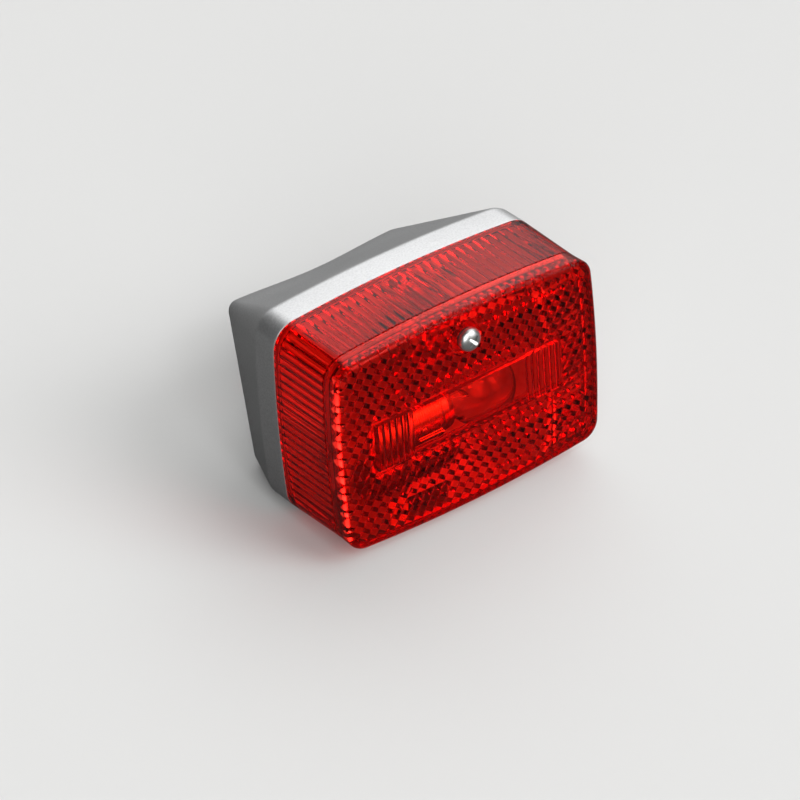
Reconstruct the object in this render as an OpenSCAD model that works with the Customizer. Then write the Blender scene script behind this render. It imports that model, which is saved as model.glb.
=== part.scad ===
// Rectangular motorcycle tail light: a tapered rear housing for a sloping
// mudguard, a fluted red lens with a bonded reflex cap, one long lens screw,
// and a bayonet bulb lying across the lamp on a riveted steel plate.
// Origin: centre of the two mounting holes, on the slanted rear face.
// X runs to the right seen from the lens side, Y runs towards the mudguard,
// Z is up. The lens faces -Y. All sizes below count from the joint plane
// between lens and housing; shift() then moves the origin to the rear face.

/* [Outline] */
// Width of the lamp at the joint plane
lamp_width = 90; // [88:0.5:94]
// Height of the lamp at the joint plane, on the centre line
lamp_height = 64.6; // [63:0.2:68]
// Outward bow of the top and bottom edges
bow_top = 2.2; // [1:0.1:3]
// Outward bow of the left and right edges
bow_side = 1.2; // [0.5:0.1:2]
// Corner radius at the joint plane
corner_r = 8; // [7:0.5:10]

/* [Lens] */
// Depth from the joint plane to the weld seam
seam_depth = 21.7; // [20:0.1:23]
// Depth from the joint plane to the front edge
lens_depth = 28.2; // [27:0.1:29]
// Draft of the lens wall over its whole depth, each side
draft = 0.83; // [0.4:0.01:1]
// Forward crown of the front face at its centre
crown = 0.57; // [0.3:0.01:0.8]
// Wall thickness of the lens
lens_wall = 2.2; // [2:0.1:2.4]
// Height of the light-spreading flutes on the inside of the wall
flute_height = 0.65; // [0.3:0.05:0.7]
// Thickness of the front plate of the cap
front_wall = 2; // [1.8:0.1:2.4]
// Pitch of the corner-cube prisms, across flats
prism_pitch = 3.27; // [3:0.01:4]

/* [Window] */
// Width of the clear window between the prisms
window_width = 62.5; // [56:0.5:64]
// Height of the clear window
window_height = 14.5; // [13:0.5:16]
// Height of the window centre above the lamp centre
window_z = -0.6; // [-2:0.1:2]
// Pitch of the upright ribs at both ends of the window
rib_pitch = 2; // [1.8:0.1:2.4]

/* [Housing] */
// Depth of the straight rim band
rim_depth = 8.9; // [8:0.1:10]
// Wall thickness of the housing
housing_wall = 2.3; // [2:0.1:2.6]
// Thickness of the rear wall
rear_wall = 2.8; // [2.4:0.1:3.2]
// Half width of the rear face at its top edge
rear_half_top = 28.7; // [28:0.1:30]
// Half width of the rear face at its bottom edge
rear_half_bottom = 37.7; // [37:0.1:38.5]
// Y of the rear face at its top edge
rear_top_y = 45.4; // [44:0.1:46]
// Z of the rear face at its top edge
rear_top_z = 11.1; // [10:0.1:12]
// Y of the rear face at its bottom edge
rear_bottom_y = 25; // [24:0.1:26]
// Z of the rear face at its bottom edge
rear_bottom_z = -29.6; // [-30:0.1:-29]
// Distance between the two mounting holes
mount_spacing = 48; // [46:0.5:50]
// Diameter of the mounting holes
mount_d = 5.5; // [5:0.1:6]
// Diameter of the cable hole
cable_d = 13; // [12.5:0.1:13.2]

/* [Lens screw] */
// Height of the lens screw above the lamp centre
screw_z = 22; // [21.5:0.1:22.5]
// Diameter of the screw head
head_d = 7.0; // [6.5:0.1:7.5]
// Height of the screw head
head_height = 2.6; // [2.2:0.1:2.8]
// Length of the screw below the head
screw_length = 38; // [37:0.5:39]
// Diameter over the thread
thread_d = 3.5; // [3.4:0.1:3.5]
// Thread pitch
thread_pitch = 1.3; // [1.2:0.1:1.4]

/* [Bulb and socket] */
// Y of the bulb axis
bulb_y = -10; // [-10.5:0.1:-9]
// Z of the bulb axis
bulb_z = -8; // [-8.5:0.1:-7.5]
// X of the open end of the socket
socket_x = -3; // [-3.5:0.1:-2.5]
// Diameter of the bulb cap
cap_d = 15.1; // [15:0.05:15.2]
// Wall of the socket shell
shell_wall = 0.5; // [0.4:0.05:0.6]
// Diameter of the bulb glass
globe_d = 22; // [18:0.2:24]
// Diameter of the bayonet pins
pin_d = 2; // [1.8:0.1:2]
// Turn from the locked position to the way out, in degrees
twist = 20; // [18:1:22]
// Travel of the bulb towards the contact over that turn
push = 1; // [0.8:0.1:1.2]

/* [Hidden] */
$fn = 48;

// ---------- outline of the lamp ----------
// steps along each quarter: top edge, corner arc, side edge
OUTLINE_STEPS = [6, 6, 5];
FLUTE_STEPS = [52, 16, 36];

// bowed edges of an outline with the given half width and half height
function top_edge(half_w, half_h, x) =
    half_h - bow_top * pow(x / (half_w - bow_side), 2);
function side_edge(half_w, half_h, z) =
    half_w - bow_side * pow(z / (half_h - bow_top), 2);
// angles of those edges away from straight
function top_slope(half_w, x) = atan(2 * bow_top * x / pow(half_w - bow_side, 2));
function side_slope(half_h, z) = atan(2 * bow_side * z / pow(half_h - bow_top, 2));
// centre of the corner arc, found by repeated substitution
function corner_centre(half_w, half_h, r, x, z, passes) = passes == 0 ? [x, z] :
    let (next_z = top_edge(half_w, half_h, x) - r / cos(top_slope(half_w, x)),
         next_x = side_edge(half_w, half_h, next_z) - r / cos(side_slope(half_h, next_z)))
    corner_centre(half_w, half_h, r, next_x, next_z, passes - 1);
// one quarter, from the top centre to the middle of the right side
function quarter(half_w, half_h, r, steps) =
    let (c = corner_centre(half_w, half_h, r,
             half_w - bow_side - r, half_h - bow_top - r, 6),
         start = 90 - top_slope(half_w, c[0]),
         end = side_slope(half_h, c[1]),
         top_x = c[0] + r * cos(start),
         side_z = c[1] + r * sin(end))
    concat([for (i = [0 : steps[0]]) let (x = top_x * i / steps[0])
            [x, top_edge(half_w, half_h, x)]],
        [for (i = [1 : steps[1]]) let (angle = start + (end - start) * i / steps[1])
            c + r * [cos(angle), sin(angle)]],
        [for (i = [1 : steps[2]]) let (z = side_z * (1 - i / steps[2]))
            [side_edge(half_w, half_h, z), z]]);
// the full loop from its quarter, starting at the top centre
function full_loop(part) = let (last = len(part) - 1) concat(
    part,
    [for (i = [last - 1 : -1 : 0]) [part[i][0], -part[i][1]]],
    [for (i = [1 : last]) [-part[i][0], -part[i][1]]],
    [for (i = [last - 1 : -1 : 1]) [-part[i][0], part[i][1]]]);
// lamp outline moved inwards; its corner shrinks too unless r is given
function inset_loop(inset, r = undef, steps = OUTLINE_STEPS) =
    full_loop(quarter(lamp_width / 2 - inset, lamp_height / 2 - inset,
        is_undef(r) ? max(corner_r - inset, 1.2) : r, steps));
// the loop at depth y
function ring(y, inset, r = undef) =
    [for (p = inset_loop(inset, r)) [p[0], y, p[1]]];

// ---------- slanted rear face ----------
rear_length = norm([rear_top_y - rear_bottom_y, rear_top_z - rear_bottom_z]);
rear_lean = atan((rear_top_y - rear_bottom_y) / (rear_top_z - rear_bottom_z));
rear_normal = [0, cos(rear_lean), -sin(rear_lean)];
rear_up = [0, sin(rear_lean), cos(rear_lean)];
rear_centre = [0, (rear_top_y + rear_bottom_y) / 2, (rear_top_z + rear_bottom_z) / 2];
rear_dip = 1.2;     // dip of the top edge, over the mudguard rib

module shift() translate(-rear_centre) children();
function lerp(p, q, t) = p + (q - p) * t;
// path from a to c with the corner at b rounded to radius r;
// steps: first straight, arc, second straight
function bend(a, b, c, r, steps) =
    let (to_a = (a - b) / norm(a - b),
         to_c = (c - b) / norm(c - b),
         half_angle = acos(to_a * to_c) / 2,
         setback = r / tan(half_angle),
         centre = b + (to_a + to_c) / norm(to_a + to_c) * r / sin(half_angle),
         start = b + to_a * setback,
         end = b + to_c * setback,
         from = atan2(start[1] - centre[1], start[0] - centre[0]),
         turn = atan2(end[1] - centre[1], end[0] - centre[0]) - from,
         sweep = turn > 180 ? turn - 360 : turn < -180 ? turn + 360 : turn)
    concat([for (i = [0 : steps[0]]) lerp(a, start, i / steps[0])],
        [for (i = [1 : steps[1]]) let (angle = from + sweep * i / steps[1])
            centre + r * [cos(angle), sin(angle)]],
        [for (i = [1 : steps[2]]) lerp(end, c, i / steps[2])]);
// rear loop in face coordinates, in the same point order as the lamp loop
function rear_loop(inset, top_r, bottom_r) =
    let (top = rear_length / 2 - inset,
         half_top = rear_half_top - inset,
         half_bottom = rear_half_bottom - inset,
         half_mid = (half_top + half_bottom) / 2,
         steps = OUTLINE_STEPS,
         upper = bend([0, top], [half_top, top], [half_mid, 0], top_r, steps),
         lower = bend([half_mid, 0], [half_bottom, -top], [0, -top], bottom_r,
             [steps[2], steps[1], steps[0]]),
         n = len(upper) - 1,
         right = concat(upper, [for (i = [1 : n]) lower[i]]))
    [for (i = [0 : 4 * n - 1])
        let (p = i <= 2 * n ? right[i] : [-right[4 * n - i][0], right[4 * n - i][1]],
             dip = p[1] > top - 3 ? rear_dip * pow(cos(90 * p[0] / half_top), 2) : 0)
        [p[0], p[1] - dip]];
// the rear loop at a depth inside the face
function rear_ring(depth, inset, top_r, bottom_r) =
    [for (p = rear_loop(inset, top_r, bottom_r))
        rear_centre - rear_normal * depth + [p[0], 0, 0] + rear_up * p[1]];

// ---------- shared solids ----------
// closed solid through a list of rings with equal point counts
module loft(rings, convexity = 6) {
    m = len(rings);
    n = len(rings[0]);
    polyhedron(points = [for (r = rings) each r],
        faces = concat([[for (i = [0 : n - 1]) i]],
            [[for (i = [n - 1 : -1 : 0]) (m - 1) * n + i]],
            [for (j = [0 : m - 2], i = [0 : n - 1]) let (k = (i + 1) % n)
                each [[j * n + i, (j + 1) * n + k, j * n + k],
                      [j * n + i, (j + 1) * n + i, (j + 1) * n + k]]]),
        convexity = convexity);
}
// flat shape in X and Z, extruded in Y
module y_extrude(front, back, x = 0, z = 0) translate([x, back, z])
    rotate([90, 0, 0]) linear_extrude(back - front) children();
// straight block with a lamp-shaped section
module outline_block(front, back, inset)
    y_extrude(front, back) polygon(inset_loop(inset));
// flat ring following the outline
module band(front, back, outer_inset, inner_inset) difference() {
    outline_block(front, back, outer_inset);
    outline_block(front - 1, back + 1, inner_inset);
}
// upright plate across X; points are [y, z]
module yz_plate(x, thickness, points) translate([x, 0, 0])
    rotate([90, 0, 90]) linear_extrude(thickness) polygon(points);
module y_rod(x, z, front, back, r) translate([x, back, z])
    rotate([90, 0, 0]) cylinder(h = back - front, r = r);
// rod on the bulb axis
module bulb_rod(left, right, r, fn = 48) translate([left, bulb_y, bulb_z])
    rotate([0, 90, 0]) cylinder(h = right - left, r = r, $fn = fn);
// turned part on the bulb axis; points are [radius, x]
module bulb_turned(points, fn = 64) translate([0, bulb_y, bulb_z])
    rotate([0, 90, 0]) rotate_extrude($fn = fn) polygon(points);
// turned part on the lens screw axis; points are [radius, y]
module screw_turned(points) translate([0, 0, screw_z])
    rotate([-90, 0, 0]) rotate_extrude() polygon(points);
// stands children on the rear face, their Z pointing out of the lamp
module on_rear(x, up, depth)
    translate(rear_centre + rear_up * up - rear_normal * depth)
    translate([x, 0, 0]) rotate([-90 - rear_lean, 0, 0]) children();
// round wire coiled about the X axis
module coil(left, right, coil_r, wire_r, turns, steps, sides)
    loft([for (i = [0 : turns * steps])
        let (t = i / (turns * steps), angle = 360 * turns * t)
        [for (j = [0 : sides - 1])
            let (f = 360 * j / sides, r = coil_r + wire_r * cos(f))
            [left + (right - left) * t + wire_r * sin(f),
                r * cos(angle), r * sin(angle)]]], 10);

// ---------- shared places ----------
head_y = -lens_depth;       // underside of the screw head
seal_t = 0.9;
spot_y = head_y + seal_t;   // spot face in the cap
thread_r = thread_d / 2;
boss_r = 4.6;               // screw bosses in lens and housing
web_t = 2.2;                // webs from those bosses to the roof
post_x = 10;                // plate posts, each side of the centre
plate_y = 6;                // front face of the plate where it is riveted
plate_hole_r = 1.55;
blade_w = 6.3;              // flat terminal blades
blade_t = 0.8;
cable_up = -12;             // cable hole, along the rear face

// ---------- housing ----------
module housing_shell() difference() {
    rim_back = ring(rim_depth, 0);
    rear_edge = rear_ring(0, 0, 4, 3);
    loft([ring(0, 0.25), ring(0.3, 0), rim_back,
        [for (i = [0 : len(rim_back) - 1]) lerp(rim_back[i], rear_edge[i], 0.975)],
        rear_ring(0, 0.9, 3.4, 2.4)]);
    loft([ring(-1, 4.4), ring(4.6, 4.4), ring(6.6, housing_wall),
        ring(rim_depth, housing_wall), rear_ring(rear_wall, housing_wall, 3, 2)]);
    // groove for the gasket and the lens tongue
    difference() {
        outline_block(-1, 3, 1.5);
        outline_block(-2, 4, 2.9);
    }
}
module housing_posts() difference() {
    gusset_t = 2;
    union() {
        for (x = [-post_x, post_x])
            y_rod(x, bulb_z, plate_y + 1, 44, 3.6);
        // gussets from the plate posts down to the floor
        for (x = [-post_x, post_x])
            yz_plate(x - gusset_t / 2, gusset_t, [[9, bulb_z - 2], [9, -30.8],
                [24, -28.6], [40, -28.6], [40, bulb_z - 2]]);
    }
    // trim everything that would reach through the rear wall
    on_rear(0, 0, 1.2) translate([-60, -60, 0]) cube([120, 120, 40]);
}
module housing() shift() color([0.78, 0.79, 0.80]) difference() {
    union() {
        housing_shell();
        housing_posts();
        // boss for the lens screw with a web to the roof
        y_rod(0, screw_z, 0.25, 16, boss_r);
        yz_plate(-web_t / 2, web_t, [[4.6, screw_z], [4.6, 29],
            [rim_depth, 31], [15.5, 27.4], [15.5, screw_z]]);
        // thick pads round the mounting holes
        for (side = [-1, 1])
            on_rear(side * mount_spacing / 2, 0, 5) cylinder(h = 4.2, r = 6);
        // thicker wall round the cable hole
        on_rear(0, cable_up, 4.4) cylinder(h = 3.2, r = 9.6);
    }
    y_rod(0, screw_z, -1, 13.5, thread_r + 0.06);
    for (x = [-post_x, post_x])
        y_rod(x, bulb_z, plate_y - 1, 17, 1.56);
    for (side = [-1, 1])
        on_rear(side * mount_spacing / 2, 0, 8) cylinder(h = 12, r = mount_d / 2);
    on_rear(0, cable_up, 8) cylinder(h = 12, r = cable_d / 2);
    // grommet seat
    on_rear(0, cable_up, 1.6) cylinder(h = 4, r = 8.5);
}

module lens_gasket() shift() color([0.09, 0.09, 0.09]) band(1.82, 2.98, 1.55, 2.85);

// ---------- lens ----------
seam_inset = draft * seam_depth / lens_depth;

// inner wall with flutes: every fourth point of the loop is a valley
function fluted() =
    let (valleys = inset_loop(lens_wall, steps = FLUTE_STEPS),
         crests = inset_loop(lens_wall + flute_height,
             corner_r - lens_wall - flute_height, FLUTE_STEPS),
         rise = [0, 0.75, 1, 0.75],
         q = FLUTE_STEPS * [1, 1, 1])   // points in a quarter
    [for (i = [0 : len(valleys) - 1])
        let (m = i % (2 * q), k = m <= q ? m : 2 * q - m)
        lerp(valleys[i], crests[i], rise[k % 4])];
module lens_body() shift() color([0.78, 0.03, 0.05]) difference() {
    union() {
        difference() {
            loft([ring(-seam_depth + 0.02, seam_inset), ring(-0.05, 0)]);
            y_extrude(-seam_depth + 1.5, 1) polygon(fluted());
            outline_block(-seam_depth - 1, -seam_depth + 2, 3.5);
        }
        // tongue
        band(-1, 1.75, 1.6, 2.8);
        // weld lip
        band(-seam_depth - 1.5, -seam_depth + 0.5, 2.5, 3.5);
        // screw boss with a web to the roof
        y_rod(0, screw_z, -lens_depth + front_wall + 1.3, 0.15, boss_r);
        translate([-web_t / 2, -seam_depth + 0.5, screw_z])
            cube([web_t, seam_depth - 2.5, lamp_height / 2 - screw_z - 1.5]);
    }
    y_rod(0, screw_z, -lens_depth - 2, 2, thread_r + 0.35);
}

// ---------- reflex cap ----------
cell_r = prism_pitch / sqrt(3);
cube_step = prism_pitch / sqrt(6);      // height of one cube step
field_y = -lens_depth + front_wall;     // back of the front plate
frame_t = 1.2;                          // frame round the window

// centre of the hexagonal cell in column i, row j
function cell_x(i, j) = (i + (j % 2 == 0 ? 0 : 0.5)) * prism_pitch;
function cell_z(j) = j * prism_pitch * sqrt(3) / 2;
// a cell is kept if it clears the rim, the window and the screw
function has_cell(i, j) =
    let (x = cell_x(i, j),
         z = cell_z(j),
         margin = 3.5 + cell_r,
         half_w = lamp_width / 2 - margin,
         half_h = lamp_height / 2 - margin)
    abs(x) < side_edge(half_w, half_h, z) && abs(z) < top_edge(half_w, half_h, x)
    && (abs(x) < half_w - 5 || abs(z) < half_h - 5
        || norm([abs(x) - half_w + 5, abs(z) - half_h + 5]) < 4.6)
    && !(abs(x) < window_width / 2 + frame_t + prism_pitch / 2
        && abs(z - window_z) < window_height / 2 + frame_t + cell_r)
    && norm([x, z - screw_z]) > 5.2 + cell_r;
CELLS = [for (j = [-11 : 11], i = [-15 : 15]) if (has_cell(i, j)) [i, j]];
// whether a cell has a neighbour across edge k, counted from the right edge
function has_neighbour(i, j, k) =
    let (odd = j % 2 == 0 ? 0 : 1,
         step = [[1, 0], [odd, 1], [odd - 1, 1],
             [-1, 0], [odd - 1, -1], [odd, -1]][k])
    has_cell(i + step[0], j + step[1]);
// six corners of a cell; every other one is raised by lift
function cell_corners(x, y, z, lift) = [for (k = [0 : 5])
    [x + cell_r * cos(60 * k - 30), y + (k % 2 == 0 ? lift : 0),
        z + cell_r * sin(60 * k - 30)]];
// corner-cube prisms on the back of the front plate; each cell has 13 points:
// its peak, six corners and six base points sunk into the plate
module prism_field() polyhedron(
    points = [for (c = CELLS) let (x = cell_x(c[0], c[1]), z = cell_z(c[1]))
        each concat([[x, field_y + 2 * cube_step, z]],
            cell_corners(x, field_y, z, cube_step),
            cell_corners(x, field_y - 0.5, z, 0))],
    faces = [for (n = [0 : len(CELLS) - 1])
        let (peak = 13 * n, corner = peak + 1, base = peak + 7, c = CELLS[n])
        each concat(
            [for (k = [0, 2, 4])
                [peak, corner + k, corner + k + 1, corner + (k + 2) % 6]],
            [[for (k = [5 : -1 : 0]) base + k]],
            // side walls only where the field ends
            [for (k = [0 : 5]) if (!has_neighbour(c[0], c[1], k))
                [corner + (k + 1) % 6, corner + k, base + k, base + (k + 1) % 6]])],
    convexity = 20);

// ring on the crowned front face, scaled towards its centre
function dome_ring(scale) = [for (p = inset_loop(draft + 1.5, 4.2))
    [p[0] * scale, -lens_depth - crown * (1 - scale * scale), p[1] * scale]];
module front_skin() loft(concat(
    [for (scale = [0.04, 0.35, 0.6, 0.8, 1]) dome_ring(scale)],
    [ring(-lens_depth + 0.25, draft + 0.55, 5.2),
        ring(-lens_depth + 0.6, draft + 0.2, 5.6),
        ring(-lens_depth + 1.3, draft - 0.03, 6),
        ring(-seam_depth - 0.02, seam_inset)]));
module window_frame() difference() {
    translate([-window_width / 2 - frame_t, field_y - 0.2,
        window_z - window_height / 2 - frame_t])
        cube([window_width + 2 * frame_t, 2 * cube_step + 0.5,
            window_height + 2 * frame_t]);
    translate([-window_width / 2, field_y - 1, window_z - window_height / 2])
        cube([window_width, 6, window_height]);
}
// upright ribs at both ends of the window
module window_ribs() for (side = [-1, 1], i = [0 : 5])
    translate([side * (window_width / 2 - (i + 0.5) * rib_pitch),
        field_y - 0.35, window_z - window_height / 2 - 0.4])
        cylinder(h = window_height + 0.8, r = rib_pitch / 2 - 0.08, $fn = 24);
module reflex_cap() shift() color([0.85, 0.04, 0.05]) difference() {
    union() {
        difference() {
            front_skin();
            outline_block(field_y, -seam_depth + 1, 2.4);
        }
        prism_field();
        window_frame();
        window_ribs();
        y_rod(0, screw_z, field_y - 0.3, field_y + 1.2, 4.9);
    }
    y_rod(0, screw_z, -lens_depth - 2, -lens_depth + 8, thread_r + 0.3);
    y_rod(0, screw_z, -lens_depth - 2, spot_y, head_d / 2 + 0.6);
}

// ---------- lens screw ----------
thread_length = 13.6;
shank_r = thread_r - 0.05;
shank_end = head_y + screw_length - 13;
// head outline: [share of the head diameter, share of the head height]
HEAD_PROFILE = [[0, 1], [0.17, 0.98], [0.32, 0.86], [0.43, 0.62],
    [0.49, 0.32], [0.5, 0.1], [0.48, 0]];

module lens_screw() shift() color([0.75, 0.76, 0.77]) difference() {
    union() {
        screw_turned(concat(
            [for (p = HEAD_PROFILE) [p[0] * head_d, head_y - p[1] * head_height]],
            [[shank_r, head_y], [shank_r, shank_end], [0, shank_end]]));
        // thread: an off-centre circle, twisted
        translate([0, head_y + screw_length - thread_length, screw_z])
            rotate([-90, 0, 0])
            linear_extrude(thread_length, twist = -360 * thread_length / thread_pitch,
                slices = 84, segments = 10)
                translate([0.32, 0]) circle(r = thread_r - 0.36, $fn = 10);
    }
    // cross slot
    for (angle = [45, 135])
        translate([0, head_y - head_height - 0.5, screw_z])
            rotate([0, angle, 0]) translate([-2.1, 0, -0.5]) cube([4.2, 2, 1]);
}
module screw_seal() shift() color([0.07, 0.07, 0.07]) screw_turned(
    [for (a = [0 : 30 : 330]) [2.6 + 0.75 * cos(a),
        head_y + seal_t / 2 + (seal_t / 2 - 0.01) * sin(a)]]);

// ---------- bulb carrier ----------
shell_r = cap_d / 2 + 0.1;      // inside radius of the socket
shell_outer_r = shell_r + shell_wall;
ear_x = socket_x - 15;
ear_r = 11;

module bulb_plate() shift() color([0.80, 0.81, 0.80]) difference() {
    union() {
        translate([ear_x, plate_y, bulb_z - 12]) cube([35, 1, 25]);
        // ear that carries the socket
        yz_plate(ear_x, 1, concat(
            [[plate_y + 1, bulb_z - ear_r], [plate_y + 1, bulb_z + ear_r]],
            [for (a = [90 : 10 : 270])
                [bulb_y + ear_r * cos(a), bulb_z + ear_r * sin(a)]]));
    }
    bulb_rod(ear_x - 1, ear_x + 2, shell_outer_r + 0.02);
    for (x = [-post_x, post_x])
        y_rod(x, bulb_z, 0, 10, plate_hole_r);
}
// y is the back of the rivet head
module rivet(x, y) translate([x, 0, bulb_z]) {
    y_rod(0, 0, y - 1.1, y, 3);
    y_rod(0, 0, y - 0.01, y + 9, 1.5);
}
module plate_rivets() shift() color([0.70, 0.71, 0.72]) {
    rivet(-post_x, plate_y - 0.02 - blade_t);   // over the ground tab
    rivet(post_x, plate_y - 0.02);
}
module ground_tab() shift() color([0.80, 0.72, 0.45]) {
    back = plate_y - 0.01;
    front = back - blade_t;
    end_z = bulb_z - 18;
    difference() {
        union() {
            y_rod(-post_x, bulb_z, front, back, 4);
            translate([-post_x - blade_w / 2, front, end_z])
                cube([blade_w, blade_t, 15]);
            // tapered tip
            y_extrude(front, back, -post_x, end_z)
                polygon([[-blade_w / 2, 0.01], [blade_w / 2, 0.01],
                    [2.2, -1.2], [-2.2, -1.2]]);
        }
        y_rod(-post_x, bulb_z, 0, 10, plate_hole_r);
        y_rod(-post_x, bulb_z - 15.5, 0, 10, 0.9);
    }
}

// ---------- socket ----------
gap = 0.02;                         // clearance between stacked parts
pin_x = socket_x - 7;               // pins in their locked place
tip_x = pin_x - 7;                  // end of the bulb's solder contact
shell_end = socket_x - 26;          // contact end of the socket
washer_x = shell_end + shell_wall + gap;
washer_t = 1.5;
feed_x = washer_x + washer_t + gap;
feed_t = 0.5;
contact_h = 3.1;                    // centre contact above the disc's -X face
disc_x = tip_x - 0.03 - contact_h;  // -X face of the contact disc
disc_t = 2.3;
spring_wire_r = 0.4;

// bayonet slot from the locked pin place to the open end
module slot(angle) {
    slot_r = pin_d / 2 + 0.12;
    for (i = [0 : 8])
        translate([pin_x - push * i / 8, bulb_y, bulb_z])
            rotate([angle + twist * i / 8, 0, 0])
            cylinder(h = 12, r = slot_r, $fn = 32);
    // way in from the open end
    translate([pin_x - push, bulb_y, bulb_z]) rotate([angle + twist, 0, 0])
        translate([0, -slot_r, 0]) cube([12, 2 * slot_r, 12]);
}
module socket_shell() shift() color([0.82, 0.70, 0.42]) difference() {
    union() {
        bulb_turned([[shell_outer_r, shell_end + 0.3],
            [shell_outer_r - 0.3, shell_end],
            [5.2, shell_end], [5.2, shell_end + shell_wall],
            [shell_r, shell_end + shell_wall], [shell_r, socket_x],
            [shell_r + 0.2, socket_x + 0.35],
            [shell_outer_r + 0.25, socket_x + 0.35],
            [shell_outer_r + 0.25, socket_x - 0.3],
            [shell_outer_r, socket_x - 0.6]]);
        // collars that grip the ear
        bulb_turned([[shell_outer_r - 0.1, ear_x + 1.02],
            [shell_outer_r + 1, ear_x + 1.02],
            [shell_outer_r + 1, ear_x + 1.5], [shell_outer_r - 0.1, ear_x + 2]]);
        bulb_turned([[shell_outer_r - 0.1, ear_x - 0.02],
            [shell_outer_r - 0.1, ear_x - 0.8],
            [shell_outer_r + 0.8, ear_x - 0.5],
            [shell_outer_r + 0.8, ear_x - 0.02]]);
    }
    slot(90);
    slot(270);
}
module seat_washer() shift() color([0.45, 0.22, 0.12]) difference() {
    bulb_rod(washer_x, washer_x + washer_t, shell_r - 0.05);
    // slit for the feed blade
    translate([washer_x - 1, bulb_y - 3.3, bulb_z - 0.55]) cube([4, 6.6, 1.1]);
}
module feed_tab() shift() color([0.83, 0.68, 0.36]) difference() {
    union() {
        bulb_rod(feed_x, feed_x + feed_t, 5.6);
        translate([feed_x - 11, bulb_y - blade_w / 2, bulb_z - blade_t / 2])
            cube([11.2, blade_w, blade_t]);
    }
    translate([feed_x - 8.5, bulb_y, bulb_z - 2])
        cylinder(h = 4, r = 0.9, $fn = 24);
}
module contact_spring() shift() color([0.62, 0.63, 0.65])
    translate([0, bulb_y, bulb_z])
        coil(left = feed_x + feed_t + spring_wire_r + gap,
            right = disc_x - spring_wire_r - gap,
            coil_r = 4.4, wire_r = spring_wire_r, turns = 4, steps = 18, sides = 8);
module contact_disc() shift() color([0.30, 0.16, 0.08]) difference() {
    bulb_rod(disc_x, disc_x + disc_t, shell_r - 0.06);
    bulb_rod(disc_x - 1, disc_x + 4, 1.27);
}
module centre_contact() shift() color([0.86, 0.70, 0.36]) bulb_turned([
    [0, disc_x - 0.6], [1.9, disc_x - 0.6], [2.1, disc_x - gap],
    [1.25, disc_x - gap], [1.25, disc_x + disc_t + gap],
    [2.6, disc_x + disc_t + gap], [2.6, disc_x + 2.9],
    [2.2, disc_x + contact_h], [0, disc_x + contact_h]]);

// rubber grommet in the cable hole, its outer flange sunk below the face
module cable_grommet() shift() color([0.08, 0.08, 0.08]) {
    neck_r = cable_d / 2 - 0.05;
    on_rear(0, cable_up, 0) rotate_extrude() polygon([[3.9, -6.6], [7.4, -6.6],
        [8, -6], [8, -4.45], [neck_r, -4.45], [neck_r, -1.55],
        [8.35, -1.55], [8.35, -0.5], [8, -0.1], [3.9, -0.1]]);
}

// ---------- bulb ----------
cap_r = cap_d / 2;
cap_end = socket_x + 4;         // glass end of the cap
globe_r = globe_d / 2;
glass_t = 0.5;
neck_r = 5.9;                   // outside radius of the glass neck
neck_inner_r = neck_r - glass_t;
globe_x = socket_x + 7.54 + sqrt(globe_r * globe_r - neck_r * neck_r);
filament_x = socket_x + 12;
lead_root_y = 0.6;              // leads off the axis, at the stem
lead_tip_y = 2.7;               // and at the filament

module bulb_cap() shift() color([0.80, 0.74, 0.58]) difference() {
    bulb_turned([[cap_r, tip_x + 2.4], [cap_r, cap_end - 1.6],
        [cap_r - 0.35, cap_end], [cap_r - 0.8, cap_end],
        [cap_r - 0.75, cap_end - 1.6], [cap_r - 0.4, cap_end - 2],
        [cap_r - 0.4, tip_x + 2.7], [5.4, tip_x + 1.5],
        [5.5, tip_x + 1.2], [6.2, tip_x + 1.4]]);
    for (angle = [90, 270])
        translate([pin_x, bulb_y, bulb_z]) rotate([angle, 0, 0])
            cylinder(h = 12, r = pin_d / 2 + 0.01, $fn = 32);
}
module bulb_pins() shift() color([0.80, 0.74, 0.58])
    for (angle = [90, 270])
        translate([pin_x, bulb_y, bulb_z]) rotate([angle, 0, 0])
            translate([0, 0, cap_r - 0.8]) cylinder(h = 2, r = pin_d / 2, $fn = 32);
module bulb_insulator() shift() color([0.05, 0.05, 0.07])
    bulb_turned([[1.9, tip_x + 0.6], [4.2, tip_x + 0.75], [5.35, tip_x + 1.25],
        [5.35, tip_x + 1.55], [6.9, tip_x + 2.75], [6.9, tip_x + 3.6],
        [1.9, tip_x + 3.6]]);
module bulb_contact() shift() color([0.70, 0.71, 0.73])
    bulb_turned([[0, tip_x], [1.6, tip_x + 0.05], [2.3, tip_x + 0.35],
        [2.3, tip_x + 0.55], [1.85, tip_x + 0.6], [1.85, tip_x + 2.6],
        [0, tip_x + 2.6]]);
// globe profile of radius r, from where it meets a neck to its far end
function globe(r, neck) = let (start = asin(neck / r))
    [for (i = [0 : 16]) let (a = start + (180 - start) * i / 16)
        [r * sin(a), globe_x - r * cos(a)]];
module bulb_glass() shift() color([0.86, 0.93, 0.96, 0.5]) {
    inner = globe(globe_r - glass_t, neck_inner_r);
    bulb_turned(concat(
        [[5.6, cap_end - 4], [neck_r, cap_end - 4], [neck_r, cap_end - 0.3]],
        globe(globe_r, neck_r),
        [for (i = [16 : -1 : 0]) inner[i]],
        [[neck_inner_r, cap_end - 3.4], [2.5, cap_end - 3.4], [2.5, cap_end - 4]]));
}
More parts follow.
